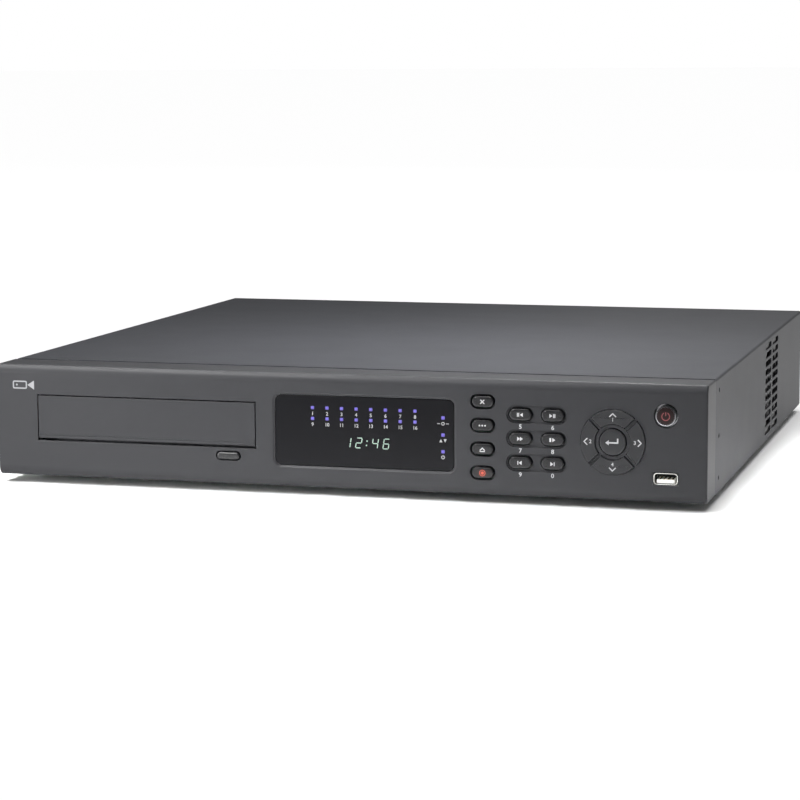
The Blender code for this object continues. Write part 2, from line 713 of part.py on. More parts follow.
def make_pill_key(name, x, z, width, height, stem_end=STEM_END_Y):
    cap = pill(name, x, z, width, height, FRONT_Y - KEY_PROUD, flange_stretch()[1] - GAP)
    grown = 2 * KEY_FLANGE
    flange = pill(name + "_flange", x, z, width + grown, height + grown, *flange_stretch(), segments=3)
    keep(cap, KEY_BLACK)
    return add_key_back(cap, x, z, flange, stem_end)


def make_round_key(name, x, z, diameter):
    cap = rod_between(name, x, z, diameter / 2, FRONT_Y - KEY_PROUD, flange_stretch()[1] - GAP, sides=24)
    flange = rod_between(name + "_flange", x, z, diameter / 2 + KEY_FLANGE, *flange_stretch())
    keep(cap, KEY_BLACK)
    return add_key_back(cap, x, z, flange)


def make_arrow_key(name, angle):
    """A ring sector; its flange stays inside the spokes, so that neighbours stay apart."""
    place = (PAD_X, MIDDLE_Z)
    cap = plate(name, arrow_outline(angle, 0.0), FRONT_Y - KEY_PROUD, flange_stretch()[1], place)
    keep(cap, KEY_BLACK)
    x, z = arrow_place(angle)
    stem = rod_between(name + "_stem", x, z, KEY_STEM_RADIUS, flange_stretch()[0], STEM_END_Y, 8)
    return fuse(cap, stem)


def make_keys():
    for name, x, z in FUNCTION_KEYS:
        make_pill_key(name, x, z, FUNCTION_KEY_WIDTH, FUNCTION_KEY_HEIGHT)
    for name, x, z in PLAY_KEYS:
        make_pill_key(name, x, z, PLAY_KEY_WIDTH, PLAY_KEY_HEIGHT)
    for name, angle in ARROW_KEYS.items():
        make_arrow_key(name, angle)
    make_round_key("enter_key", PAD_X, MIDDLE_Z, ENTER_DIAMETER)
    make_round_key("power_button", POWER_X, POWER_Z, POWER_DIAMETER)
    eject_end = DRIVE_FRONT_Y - EJECT_TRAVEL - GAP
    make_pill_key("eject_button", EJECT_X, EJECT_Z, EJECT_WIDTH, EJECT_DEPTH, eject_end)


def make_key_board():
    """The board behind the keys, with a tactile switch behind each one."""
    margin = BEZEL_WALL + KEY_CLEARANCE
    board = block(
        "key_board",
        (FUNCTION_X - KEY_BOARD_LEFT_MARGIN, KEY_BOARD_Y, BASE_Z + margin),
        (RIGHT_X - margin, KEY_BOARD_Y + BOARD_THICKNESS, TOP_Z - margin),
    )
    keep(board, CIRCUIT_GREEN)
    switches = []
    plungers = []
    for index, (x, z) in enumerate(switch_places()):
        switches.append(
            bar(
                f"switch_{index}",
                (x, KEY_BOARD_Y - SWITCH_DEPTH / 2 + GAP, z),
                (SWITCH_SIDE, SWITCH_DEPTH, SWITCH_SIDE),
            )
        )
        plungers.append(
            rod_between(f"plunger_{index}", x, z, SWITCH_PLUNGER_RADIUS, PLUNGER_Y, KEY_BOARD_Y - GAP, 8)
        )
    return fuse(board, joined("switches", switches), joined("plungers", plungers))


def usb_shell(name, x, z, y_mouth, y_back):
    """A flat metal sleeve, open at the mouth and at the back."""
    middle = (x, (y_mouth + y_back) / 2, z)
    depth = y_back - y_mouth
    shell = bar(name, middle, (USB_WIDTH, depth, USB_HEIGHT), radius=USB_RADIUS, segments=2)
    hollow = bar(
        name + "_hollow",
        middle,
        (USB_WIDTH - 2 * USB_WALL, 2 * depth, USB_HEIGHT - 2 * USB_WALL),
        radius=USB_RADIUS - USB_WALL,
        segments=2,
    )
    return cut(shell, hollow)


def make_front_usb():
    back = KEY_BOARD_Y - GAP
    keep(usb_shell("front_usb_shell", USB_X, USB_Z, FRONT_Y, back), STEEL)
    inner_height = USB_HEIGHT - 2 * USB_WALL - 2 * GAP
    tongue = block(
        "front_usb_tongue",
        (USB_X - USB_TONGUE_WIDTH / 2, FRONT_Y + USB_TONGUE_SETBACK, USB_Z - USB_TONGUE_THICKNESS / 2),
        (USB_X + USB_TONGUE_WIDTH / 2, back, USB_Z + USB_TONGUE_THICKNESS / 2),
    )
    root_width = USB_WIDTH - 2 * USB_WALL - 2 * GAP
    root = bar(
        "front_usb_root",
        (USB_X, back - USB_ROOT_DEPTH / 2, USB_Z),
        (root_width, USB_ROOT_DEPTH, inner_height),
        radius=USB_RADIUS,
        segments=2,
    )
    fuse(keep(tongue, WHITE_PLASTIC), root)


# --- Disc drive -----------------------------------------------------------------------------------
def make_disc_drive():
    left = DOOR_MIDDLE_X - DRIVE_WIDTH / 2
    right = DOOR_MIDDLE_X + DRIVE_WIDTH / 2
    back = DRIVE_FRONT_Y + DRIVE_LENGTH
    case = block("drive_case", (left, DRIVE_FRONT_Y, DRIVE_BASE_Z), (right, back, DRIVE_TOP_Z))
    hollow = block(
        "drive_hollow",
        (left + DRIVE_WALL, DRIVE_FRONT_Y + DRIVE_WALL, DRIVE_BASE_Z + DRIVE_WALL),
        (right - DRIVE_WALL, back - DRIVE_WALL, DRIVE_TOP_Z - DRIVE_WALL),
    )
    mouth = bar(
        "drive_mouth",
        (DOOR_MIDDLE_X, DRIVE_FRONT_Y, TRAY_Z),
        (TRAY_WIDTH + 4 * DOOR_GAP, 4 * DRIVE_WALL, DRIVE_MOUTH_HEIGHT),
    )
    cut(keep(case, STEEL), hollow, mouth)

    tray_front = FRONT_Y + DOOR_THICKNESS + GAP
    tray = block(
        "disc_tray",
        (DOOR_MIDDLE_X - TRAY_WIDTH / 2, tray_front, TRAY_Z - TRAY_THICKNESS / 2),
        (DOOR_MIDDLE_X + TRAY_WIDTH / 2, tray_front + TRAY_LENGTH, TRAY_Z + TRAY_THICKNESS / 2),
    )
    disc_y = DRIVE_FRONT_Y + DISC_RECESS_DIAMETER / 2
    top = TRAY_Z + TRAY_THICKNESS / 2
    recess_cut = rod(
        "disc_recess",
        (DOOR_MIDDLE_X, disc_y, top),
        DISC_RECESS_DIAMETER / 2,
        2 * DISC_RECESS_DEPTH,
        along="Z",
        sides=48,
    )
    slot_end = tray_front + TRAY_LENGTH - TRAY_SLOT_WIDTH / 2
    slot = block(
        "pickup_slot",
        (DOOR_MIDDLE_X - TRAY_SLOT_WIDTH / 2, disc_y - TRAY_SLOT_WIDTH / 2, TRAY_Z - TRAY_THICKNESS),
        (DOOR_MIDDLE_X + TRAY_SLOT_WIDTH / 2, slot_end, TRAY_Z + TRAY_THICKNESS),
        radius=TRAY_SLOT_WIDTH * TRAY_SLOT_ROUNDING,
        along="Z",
    )
    cut(keep(tray, BLACK_PLASTIC), recess_cut, slot)

    door = block(
        "tray_door",
        (DOOR_LEFT_X + DOOR_GAP, FRONT_Y, DOOR_BASE_Z + DOOR_BOTTOM_GAP),
        (DOOR_RIGHT_X - DOOR_GAP, FRONT_Y + DOOR_THICKNESS, DOOR_TOP_Z - DOOR_GAP),
    )
    edges = door.modifiers.new("eased_edges", "BEVEL")
    edges.width = DOOR_EASED_EDGE
    edges.segments = 1
    keep(door, CHARCOAL)


# --- Sheet-metal case -----------------------------------------------------------------------------
def make_base():
    inner = BODY_WIDTH / 2 - SHEET - GAP
    base = block(
        "chassis_base",
        (-inner, CASE_FRONT_Y, BASE_Z),
        (inner, PANEL_INNER_Y - GAP, TOP_Z - SHEET - GAP),
    )
    keep(base, ZINC)
    hollow = block(
        "base_hollow",
        (-inner + SHEET, CASE_FRONT_Y + SHEET, FLOOR_Z),
        (inner - SHEET, REAR_Y, TOP_Z + SHEET),
    )
    sides = block(
        "base_side_cut",
        (-BODY_WIDTH, CASE_FRONT_Y + SHEET, BASE_Z + BASE_SIDE_HEIGHT),
        (BODY_WIDTH, REAR_Y, TOP_Z + SHEET),
    )
    drive_hole = block(
        "base_drive_hole",
        (DOOR_MIDDLE_X - DRIVE_WIDTH / 2 - SHEET, CASE_FRONT_Y - SHEET, DRIVE_BASE_Z - SHEET),
        (DOOR_MIDDLE_X + DRIVE_WIDTH / 2 + SHEET, CASE_FRONT_Y + 2 * SHEET, DRIVE_TOP_Z + SHEET),
    )
    wire_holes = [
        bar(
            f"wire_hole_{index}",
            (x, CASE_FRONT_Y, MIDDLE_Z),
            (WIRE_HOLE_WIDTH, 4 * SHEET, WIRE_HOLE_HEIGHT),
            radius=WIRE_HOLE_RADIUS,
            segments=2,
        )
        for index, x in enumerate((WINDOW_X, PAD_X))
    ]
    cut(base, hollow, sides, drive_hole, *wire_holes)
    return fuse(base, *drive_rails(), *board_posts())


def drive_rails():
    """The two rails on the floor that the disc drive stands on."""
    from_middle = DRIVE_WIDTH / 2 - DRIVE_RAIL_WIDTH
    rails = []
    for index, x in enumerate((DOOR_MIDDLE_X - from_middle, DOOR_MIDDLE_X + from_middle)):
        low = (x - DRIVE_RAIL_WIDTH / 2, CASE_FRONT_Y + 2 * SHEET, FLOOR_Z - SHEET / 2)
        high = (x + DRIVE_RAIL_WIDTH / 2, DRIVE_FRONT_Y + DRIVE_LENGTH, DRIVE_BASE_Z - GAP)
        rails.append(block(f"drive_rail_{index}", low, high))
    return rails


def board_posts():
    """The four posts on the floor that carry the main board."""
    low_z = FLOOR_Z - SHEET / 2
    high_z = MAIN_BOARD_Z - GAP
    left = MAIN_BOARD_LEFT_X + BOARD_POST_INSET
    right = MAIN_BOARD_RIGHT_X - BOARD_POST_INSET
    front = MAIN_BOARD_FRONT_Y + BOARD_POST_INSET
    rear = MAIN_BOARD_REAR_Y - 2 * SOCKET_BLOCK_DEPTH
    posts = []
    for index, (x, y) in enumerate(((left, front), (left, rear), (right, front), (right, rear))):
        centre = (x, y, (low_z + high_z) / 2)
        height = high_z - low_z
        posts.append(rod(f"board_post_{index}", centre, BOARD_POST_RADIUS, height, "Z", sides=8))
    return posts


def vent_slots():
    slots = []
    for column in range(VENT_COLUMNS):
        for row in range(VENT_ROWS):
            y = FAN_Y + (column - (VENT_COLUMNS - 1) / 2) * VENT_COLUMN_PITCH
            z = MIDDLE_Z + (row - (VENT_ROWS - 1) / 2) * VENT_ROW_PITCH
            for side, x in (("left", LEFT_X), ("right", RIGHT_X)):
                slots.append(
                    bar(
                        f"vent_{side}_{column}_{row}",
                        (x, y, z),
                        (6 * SHEET, VENT_SLOT_LENGTH, VENT_SLOT_HEIGHT),
                        radius=VENT_SLOT_HEIGHT * ROUND_END,
                        along="X",
                        segments=3,
                    )
                )
    return joined("vent_slots", slots)


def screw_places():
    span = BODY_WIDTH - 2 * COVER_SCREW_FROM_SIDE
    step = span / (COVER_SCREWS - 1)
    first = LEFT_X + COVER_SCREW_FROM_SIDE
    return [(first + step * index, TOP_Z - COVER_LIP / 2) for index in range(COVER_SCREWS)]


def screw_holes(name):
    y_low = PANEL_INNER_Y - SHEET
    y_high = REAR_Y + SHEET
    holes = [
        rod_between(f"{name}_{index}", x, z, SCREW_HOLE_DIAMETER / 2, y_low, y_high, 8)
        for index, (x, z) in enumerate(screw_places())
    ]
    return joined(name, holes)


def make_cover():
    cover = block("top_cover", (LEFT_X, CASE_FRONT_Y, BASE_Z), (RIGHT_X, REAR_Y, TOP_Z))
    keep(cover, CHARCOAL)
    hollow = block(
        "cover_hollow",
        (LEFT_X + SHEET, CASE_FRONT_Y - SHEET, BASE_Z - SHEET),
        (RIGHT_X - SHEET, REAR_Y - SHEET, TOP_Z - SHEET),
    )
    rear_hole = block(
        "cover_rear_hole",
        (LEFT_X + SHEET, REAR_Y - 2 * SHEET, BASE_Z - SHEET),
        (RIGHT_X - SHEET, REAR_Y + SHEET, TOP_Z - COVER_LIP),
    )
    return cut(cover, hollow, rear_hole, vent_slots(), screw_holes("cover_screw_holes"))


def make_screws():
    head_y = REAR_Y + GAP
    head_end = head_y + SCREW_HEAD_HEIGHT
    head_middle = head_y + SCREW_HEAD_HEIGHT / 2
    shank_end = head_y - SCREW_SHANK_LENGTH
    for index, (x, z) in enumerate(screw_places()):
        name = f"cover_screw_{index + 1}"
        head = rod_between(name, x, z, SCREW_HEAD_DIAMETER / 2, head_y, head_end, 12)
        shank = rod_between(name + "_shank", x, z, SCREW_SHANK_DIAMETER / 2, shank_end, head_middle, 8)
        fuse(keep(head, STEEL), shank)


def make_feet():
    places = {
        "front_left_foot": (LEFT_X + FOOT_FROM_SIDE, FRONT_Y + FOOT_FROM_FRONT),
        "front_right_foot": (RIGHT_X - FOOT_FROM_SIDE, FRONT_Y + FOOT_FROM_FRONT),
        "rear_left_foot": (LEFT_X + FOOT_FROM_SIDE, REAR_Y - FOOT_FROM_REAR),
        "rear_right_foot": (RIGHT_X - FOOT_FROM_SIDE, REAR_Y - FOOT_FROM_REAR),
    }
    for name, (x, y) in places.items():
        height = FOOT_HEIGHT - GAP
        foot = rod(
            name,
            (x, y, height / 2),
            FOOT_DIAMETER / 2 - FOOT_TAPER,
            height,
            along="Z",
            sides=24,
            end_radius=FOOT_DIAMETER / 2,
        )
        keep(foot, RUBBER)


# --- Inner parts ----------------------------------------------------------------------------------
def make_rack_and_hard_drives():
    """A sheet rack with two bays, two drives one over the other in each."""
    width = 2 * RACK_BAY_WIDTH + 3 * RACK_WALL
    back = RACK_FRONT_Y + HARD_DRIVE_LENGTH
    bottom = FLOOR_Z + GAP
    height = 2 * HARD_DRIVE_HEIGHT + 3 * RACK_CLEARANCE + 3 * RACK_WALL
    rack = block(
        "drive_rack",
        (RACK_LEFT_X, RACK_FRONT_Y, bottom),
        (RACK_LEFT_X + width, back, bottom + height),
    )
    keep(rack, ZINC)
    for bay in range(2):
        bay_left = RACK_LEFT_X + RACK_WALL + bay * (RACK_BAY_WIDTH + RACK_WALL)
        bay_cut = block(
            f"rack_bay_{bay}",
            (bay_left, RACK_FRONT_Y - SHEET, bottom - SHEET),
            (bay_left + RACK_BAY_WIDTH, back + SHEET, bottom + height - RACK_WALL),
        )
        cut(rack, bay_cut)
        for level in range(2):
            left = bay_left + RACK_CLEARANCE
            low_z = bottom + RACK_WALL + level * DRIVE_LIFT
            drive = block(
                f"hard_drive_{2 * bay + level + 1}",
                (left, RACK_FRONT_Y, low_z),
                (left + HARD_DRIVE_WIDTH, back - SHEET, low_z + HARD_DRIVE_HEIGHT),
            )
            keep(drive, ALUMINIUM)


def make_main_board():
    board = block(
        "main_board",
        (MAIN_BOARD_LEFT_X, MAIN_BOARD_FRONT_Y, MAIN_BOARD_Z),
        (MAIN_BOARD_RIGHT_X, MAIN_BOARD_REAR_Y, BOARD_TOP_Z),
    )
    keep(board, CIRCUIT_GREEN)


def make_heat_sink():
    x = (MAIN_BOARD_LEFT_X + MAIN_BOARD_RIGHT_X) / 2
    y = (MAIN_BOARD_FRONT_Y + MAIN_BOARD_REAR_Y) / 2
    half = HEAT_SINK_SIDE / 2
    sink = block(
        "heat_sink",
        (x - half, y - half, SOCKET_BASE_Z),
        (x + half, y + half, SOCKET_BASE_Z + HEAT_SINK_HEIGHT),
    )
    keep(sink, ALUMINIUM)
    pitch = (HEAT_SINK_SIDE - HEAT_SINK_FIN) / (HEAT_SINK_FINS - 1)
    low_z = SOCKET_BASE_Z + HEAT_SINK_BASE
    high_z = SOCKET_BASE_Z + 2 * HEAT_SINK_HEIGHT
    grooves = []
    for index in range(HEAT_SINK_FINS - 1):
        left = x - half + HEAT_SINK_FIN + index * pitch
        right = x - half + (index + 1) * pitch
        low = (left, y - HEAT_SINK_SIDE, low_z)
        grooves.append(block(f"groove_{index}", low, (right, y + HEAT_SINK_SIDE, high_z)))
    return cut(sink, joined("grooves", grooves))


def inlet_body_hole(name, wide, y_low, y_high):
    return block(
        name,
        (INLET_X - INLET_WIDTH / 2 - wide, y_low, INLET_Z - INLET_HEIGHT / 2 - wide),
        (INLET_X + INLET_WIDTH / 2 + wide, y_high, INLET_Z + INLET_HEIGHT / 2 + wide),
    )


def rocker_body_hole(name, wide, y_low, y_high):
    return block(
        name,
        (ROCKER_X - ROCKER_FRAME_WIDTH / 2 - wide, y_low, INLET_Z - ROCKER_FRAME_HEIGHT / 2 - wide),
        (ROCKER_X + ROCKER_FRAME_WIDTH / 2 + wide, y_high, INLET_Z + ROCKER_FRAME_HEIGHT / 2 + wide),
    )


def make_supply():
    back = SOCKET_FACE_Y
    supply = block(
        "power_supply",
        (SUPPLY_LEFT_X, back - SUPPLY_LENGTH, SUPPLY_BASE_Z),
        (SUPPLY_LEFT_X + SUPPLY_WIDTH, back, SUPPLY_BASE_Z + SUPPLY_HEIGHT),
    )
    keep(supply, ZINC)
    hollow = block(
        "supply_hollow",
        (SUPPLY_LEFT_X + SHEET, back - SUPPLY_LENGTH + SHEET, SUPPLY_BASE_Z + SHEET),
        (SUPPLY_LEFT_X + SUPPLY_WIDTH - SHEET, back - SHEET, SUPPLY_BASE_Z + SUPPLY_HEIGHT - SHEET),
    )
    exit_x = SUPPLY_LEFT_X + SUPPLY_WIDTH * SUPPLY_WIRE_EXIT_ALONG
    wire_exit = bar(
        "supply_wire_exit",
        (exit_x, back - SUPPLY_LENGTH, SUPPLY_BASE_Z + SUPPLY_HEIGHT / 2),
        SUPPLY_WIRE_EXIT,
        radius=SUPPLY_WIRE_EXIT_RADIUS,
        segments=2,
    )
    y_low = back - 2 * SHEET
    y_high = back + SHEET
    inlet_hole = inlet_body_hole("supply_inlet_hole", SOCKET_CLEARANCE, y_low, y_high)
    rocker_hole = rocker_body_hole("supply_rocker_hole", SOCKET_CLEARANCE, y_low, y_high)
    return cut(supply, hollow, wire_exit, inlet_hole, rocker_hole)


def make_inlet():
    """The mains socket: a moulded block with a deep mouth, three blades and an outside flange."""
    face = PANEL_Y + GAP + INLET_FLANGE
    back = face - INLET_DEPTH
    inlet = inlet_body_hole("mains_inlet", 0.0, back, face)
    keep(inlet, BLACK_PLASTIC)
    flange = bar(
        "inlet_flange",
        (INLET_X, face - INLET_FLANGE / 2, INLET_Z),
        (INLET_WIDTH + 2 * INLET_FLANGE_MARGIN, INLET_FLANGE, INLET_HEIGHT + 2 * INLET_FLANGE_MARGIN),
        radius=INLET_FLANGE_RADIUS,
        segments=2,
    )
    mouth = block(
        "inlet_mouth",
        (INLET_X - INLET_MOUTH_WIDTH / 2, back + INLET_FLOOR, INLET_Z - INLET_MOUTH_HEIGHT / 2),
        (INLET_X + INLET_MOUTH_WIDTH / 2, face + CUT_BEYOND, INLET_Z + INLET_MOUTH_HEIGHT / 2),
        radius=INLET_MOUTH_RADIUS,
        segments=2,
    )
    low_y = back + INLET_FLOOR / 2
    high_y = face - INLET_BLADE_SETBACK
    blades = []
    for index, (x, z) in enumerate(INLET_BLADES):
        centre = (INLET_X + x, (low_y + high_y) / 2, INLET_Z + z)
        size = (INLET_BLADE_WIDTH, high_y - low_y, INLET_BLADE_HEIGHT)
        blades.append(bar(f"inlet_blade_{index}", centre, size))
    fuse(inlet, flange)
    cut(inlet, mouth)
    return fuse(inlet, *blades)


def make_rocker():
    face = PANEL_Y + GAP + INLET_FLANGE
    frame = rocker_body_hole("rocker_frame", 0.0, face - ROCKER_DEPTH, face)
    keep(frame, BLACK_PLASTIC)
    grown = 2 * ROCKER_FLANGE_MARGIN
    flange = bar(
        "rocker_flange",
        (ROCKER_X, face - INLET_FLANGE / 2, INLET_Z),
        (ROCKER_FRAME_WIDTH + grown, INLET_FLANGE, ROCKER_FRAME_HEIGHT + grown),
        radius=ROCKER_FLANGE_RADIUS,
        segments=1,
    )
    half_width = ROCKER_WIDTH / 2 + 2 * GAP
    half_length = math.hypot(ROCKER_LENGTH, ROCKER_THICKNESS) / 2 + 2 * GAP
    well = block(
        "rocker_well",
        (ROCKER_X - half_width, face - ROCKER_DEPTH + ROCKER_FLOOR, INLET_Z - half_length),
        (ROCKER_X + half_width, face + CUT_BEYOND, INLET_Z + half_length),
    )
    fuse(frame, flange)
    cut(frame, well)

    pivot = Vector((ROCKER_X, face - ROCKER_THICKNESS / 2 + ROCKER_PROUD, INLET_Z))
    rocker = bar("power_rocker", pivot, (ROCKER_WIDTH, ROCKER_THICKNESS, ROCKER_LENGTH))
    rocker.rotation_euler = (ROCKER_TILT, 0, 0)
    edges = rocker.modifiers.new("eased_edges", "BEVEL")
    edges.width = ROCKER_EASED_EDGE
    edges.segments = 1
    keep(rocker, BLACK_PLASTIC)


def make_fan():
    """A square fan on the right wall behind the vents, its axle along X."""
    middle = (FAN_X, FAN_Y, MIDDLE_Z)
    frame_size = (FAN_THICKNESS, FAN_SIDE, FAN_SIDE)
    frame = bar("fan_frame", middle, frame_size, radius=FAN_CORNER_RADIUS, along="X", segments=2)
    keep(frame, BLACK_PLASTIC)
    cut(frame, rod("fan_duct", middle, FAN_DUCT_RADIUS, 2 * FAN_THICKNESS, along="X", sides=32))
    strut_x = FAN_X - FAN_THICKNESS / 2 + FAN_STRUT / 2
    span = 2 * FAN_DUCT_RADIUS + FAN_STRUT
    seat_place = (strut_x, FAN_Y, MIDDLE_Z)
    struts = [
        bar("fan_strut_level", seat_place, (FAN_STRUT, span, FAN_STRUT)),
        bar("fan_strut_upright", seat_place, (FAN_STRUT, FAN_STRUT, span)),
    ]
    seat = rod("fan_seat", seat_place, FAN_HUB_RADIUS, FAN_SEAT_DEPTH, along="X")
    fuse(frame, *struts, seat)

    front_x = FAN_X - FAN_THICKNESS / 2 + FAN_STRUT + 2 * GAP
    back_x = FAN_X + FAN_THICKNESS / 2 - 2 * GAP
    hub_place = ((front_x + back_x) / 2, FAN_Y, MIDDLE_Z)
    rotor = rod("fan_rotor", hub_place, FAN_HUB_RADIUS, back_x - front_x, along="X", sides=21)
    keep(rotor, BLACK_PLASTIC)
    blades = [solid(f"fan_blade_{index}", fan_blade(index), hub_place) for index in range(FAN_BLADES)]
    return fuse(rotor, *blades)


def fan_blade(index):
    """One pitched blade, turned to its place about the axle."""
    length = FAN_BLADE_TIP - FAN_HUB_RADIUS / 2
    pitch = Matrix.Rotation(FAN_BLADE_PITCH, 3, "Z")
    turn = Matrix.Rotation(2 * math.pi * index / FAN_BLADES, 3, "X")
    bm = bmesh.new()
    bmesh.ops.create_cube(bm, size=1.0)
    bmesh.ops.scale(bm, vec=(FAN_BLADE_THICKNESS, FAN_BLADE_CHORD, length), verts=bm.verts)
    bmesh.ops.rotate(bm, verts=bm.verts, cent=(0, 0, 0), matrix=pitch)
    bmesh.ops.translate(bm, verts=bm.verts, vec=(0, 0, FAN_BLADE_TIP - length / 2))
    bmesh.ops.rotate(bm, verts=bm.verts, cent=(0, 0, 0), matrix=turn)
    return bm


# --- Rear panel and its sockets -------------------------------------------------------------------
VIDEO_PLACES = [
    (VIDEO_LEFT_X + (column + 0.5) * VIDEO_PITCH, FIRST_ROW_Z + row * VIDEO_ROW_PITCH)
    for row in range(VIDEO_ROWS)
    for column in range(VIDEO_COLUMNS)
]
AUDIO_PLACES = [
    (AUDIO_LEFT_X + (column + 0.5) * AUDIO_PITCH, FIRST_ROW_Z + row * VIDEO_ROW_PITCH)
    for row in range(VIDEO_ROWS)
    for column in range(AUDIO_COLUMNS)
]


def make_socket_block(name, left, width, places, radius, bore, pin):
    """A moulded block on the board with round sockets that pass through the panel."""
    top = FIRST_ROW_Z + (VIDEO_ROWS - 0.5) * VIDEO_ROW_PITCH
    housing = block(
        name,
        (left, SOCKET_FACE_Y - SOCKET_BLOCK_DEPTH, SOCKET_BASE_Z),
        (left + width, SOCKET_FACE_Y, top),
    )
    keep(housing, BLACK_PLASTIC)

    def rods(kind, rod_radius, y_low, y_high, sides):
        made = [
            rod_between(f"{name}_{kind}_{index}", x, z, rod_radius, y_low, y_high, sides)
            for index, (x, z) in enumerate(places)
        ]
        return joined(f"{name}_{kind}s", made)

    floor_y = SOCKET_FACE_Y + BORE_FLOOR
    fuse(housing, rods("barrel", radius, SOCKET_FACE_Y - BARREL_ROOT, TIP_Y, 12))
    cut(housing, rods("bore", bore, floor_y, TIP_Y + CUT_BEYOND, 8))
    if pin > 0:
        fuse(housing, rods("pin", pin, floor_y - BORE_FLOOR, TIP_Y - PIN_SETBACK, 6))
    return housing


def port_box(name, from_right, width, height, grow=0.0, reach=0.0):
    """A box on the main board that meets the panel: the body of a port, or the hole for it."""
    x = RIGHT_X - from_right
    return block(
        name,
        (x - width / 2 - grow, SOCKET_FACE_Y - SOCKET_BLOCK_DEPTH, SOCKET_BASE_Z - grow),
        (x + width / 2 + grow, PANEL_Y + reach, SOCKET_BASE_Z + height + grow),
    )


PORTS = {
    "picture_port": (PICTURE_FROM_RIGHT, PICTURE_WIDTH, PICTURE_HEIGHT),
    "rear_usb_port": (REAR_USB_FROM_RIGHT, USB_WIDTH, USB_HEIGHT),
    "network_port": (NETWORK_FROM_RIGHT, NETWORK_WIDTH, NETWORK_HEIGHT),
}


def make_small_ports():
    for name in PORTS:
        keep(port_box(name, *PORTS[name], reach=PORT_REACH), STEEL)
    mouth_end = PANEL_Y + CUT_BEYOND
    for name, wall in (("picture_port", PICTURE_WALL), ("rear_usb_port", USB_WALL)):
        from_right, width, height = PORTS[name]
        x = RIGHT_X - from_right
        mouth = block(
            name + "_mouth",
            (x - width / 2 + wall, PANEL_Y - PORT_MOUTH_DEPTH, SOCKET_BASE_Z + wall),
            (x + width / 2 - wall, mouth_end, SOCKET_BASE_Z + height - wall),
        )
        cut(bpy.data.objects[name], mouth)
        tongue = bar(
            name + "_tongue",
            (x, PANEL_Y - PORT_TONGUE_SETBACK, SOCKET_BASE_Z + height / 2),
            (width * PORT_TONGUE_WIDTH, PORT_TONGUE_LENGTH, height * PORT_TONGUE_THICKNESS),
        )
        fuse(bpy.data.objects[name], tongue)
    x = RIGHT_X - NETWORK_FROM_RIGHT
    z = SOCKET_BASE_Z + NETWORK_HEIGHT / 2
    hole = block(
        "network_mouth",
        (x - NETWORK_HOLE_WIDTH / 2, PANEL_Y - NETWORK_HOLE_DEPTH, z - NETWORK_HOLE_HEIGHT / 2),
        (x + NETWORK_HOLE_WIDTH / 2, mouth_end, z + NETWORK_HOLE_HEIGHT / 2),
    )
    cut(bpy.data.objects["network_port"], hole)


def monitor_plug(name, grow, y_low, y_high):
    """The slanted-sided metal shell of a monitor socket, or the hole for it."""
    half = MONITOR_PLUG_WIDTH / 2 + grow
    rise = MONITOR_PLUG_HEIGHT / 2 + grow
    low_half = half - MONITOR_PLUG_LEAN
    outline = [(half, rise), (-half, rise), (-low_half, -rise), (low_half, -rise)]
    place = (RIGHT_X - MONITOR_FROM_RIGHT, SOCKET_BASE_Z + MONITOR_HEIGHT / 2)
    return plate(name, outline, y_low, y_high, place)


def make_monitor_port():
    x = RIGHT_X - MONITOR_FROM_RIGHT
    body = block(
        "monitor_port",
        (x - MONITOR_WIDTH / 2, SOCKET_FACE_Y - SOCKET_BLOCK_DEPTH, SOCKET_BASE_Z),
        (x + MONITOR_WIDTH / 2, SOCKET_FACE_Y, SOCKET_BASE_Z + MONITOR_HEIGHT),
    )
    keep(body, STEEL)
    y_low = SOCKET_FACE_Y - BARREL_ROOT
    return fuse(body, monitor_plug("monitor_shell", 0.0, y_low, PANEL_Y + MONITOR_PLUG_REACH))


def terminal_middle():
    return RIGHT_X - TERMINAL_FROM_RIGHT, MIDDLE_Z + TERMINAL_ABOVE_MIDDLE


def make_alarm_sockets():
    """The screw terminals for alarm and control wires, on an upright board of their own."""
    x, z = terminal_middle()
    width = TERMINALS * TERMINAL_PITCH
    board_back = SOCKET_FACE_Y - ALARM_BOARD_SETBACK
    board = block(
        "alarm_board",
        (x - ALARM_BOARD_WIDTH / 2, board_back - BOARD_THICKNESS, z - ALARM_BOARD_HEIGHT / 2),
        (x + ALARM_BOARD_WIDTH / 2, board_back, z + ALARM_BOARD_HEIGHT / 2),
    )
    keep(board, CIRCUIT_GREEN)
    terminals = block(
        "alarm_terminals",
        (x - width / 2, board_back + GAP, z - TERMINAL_HEIGHT / 2),
        (x + width / 2, PANEL_Y + TERMINAL_REACH, z + TERMINAL_HEIGHT / 2),
    )
    keep(terminals, TERMINAL_GREEN)
    mouth_size = (TERMINAL_MOUTH_SIDE, 2 * TERMINAL_MOUTH_DEPTH, TERMINAL_MOUTH_SIDE)
    mouths = []
    for index in range(TERMINALS):
        mouth_x = x - width / 2 + (index + 0.5) * TERMINAL_PITCH
        centre = (mouth_x, PANEL_Y + TERMINAL_REACH, z - TERMINAL_MOUTH_BELOW)
        mouths.append(bar(f"terminal_mouth_{index}", centre, mouth_size))
    return cut(terminals, joined("terminal_mouths", mouths))


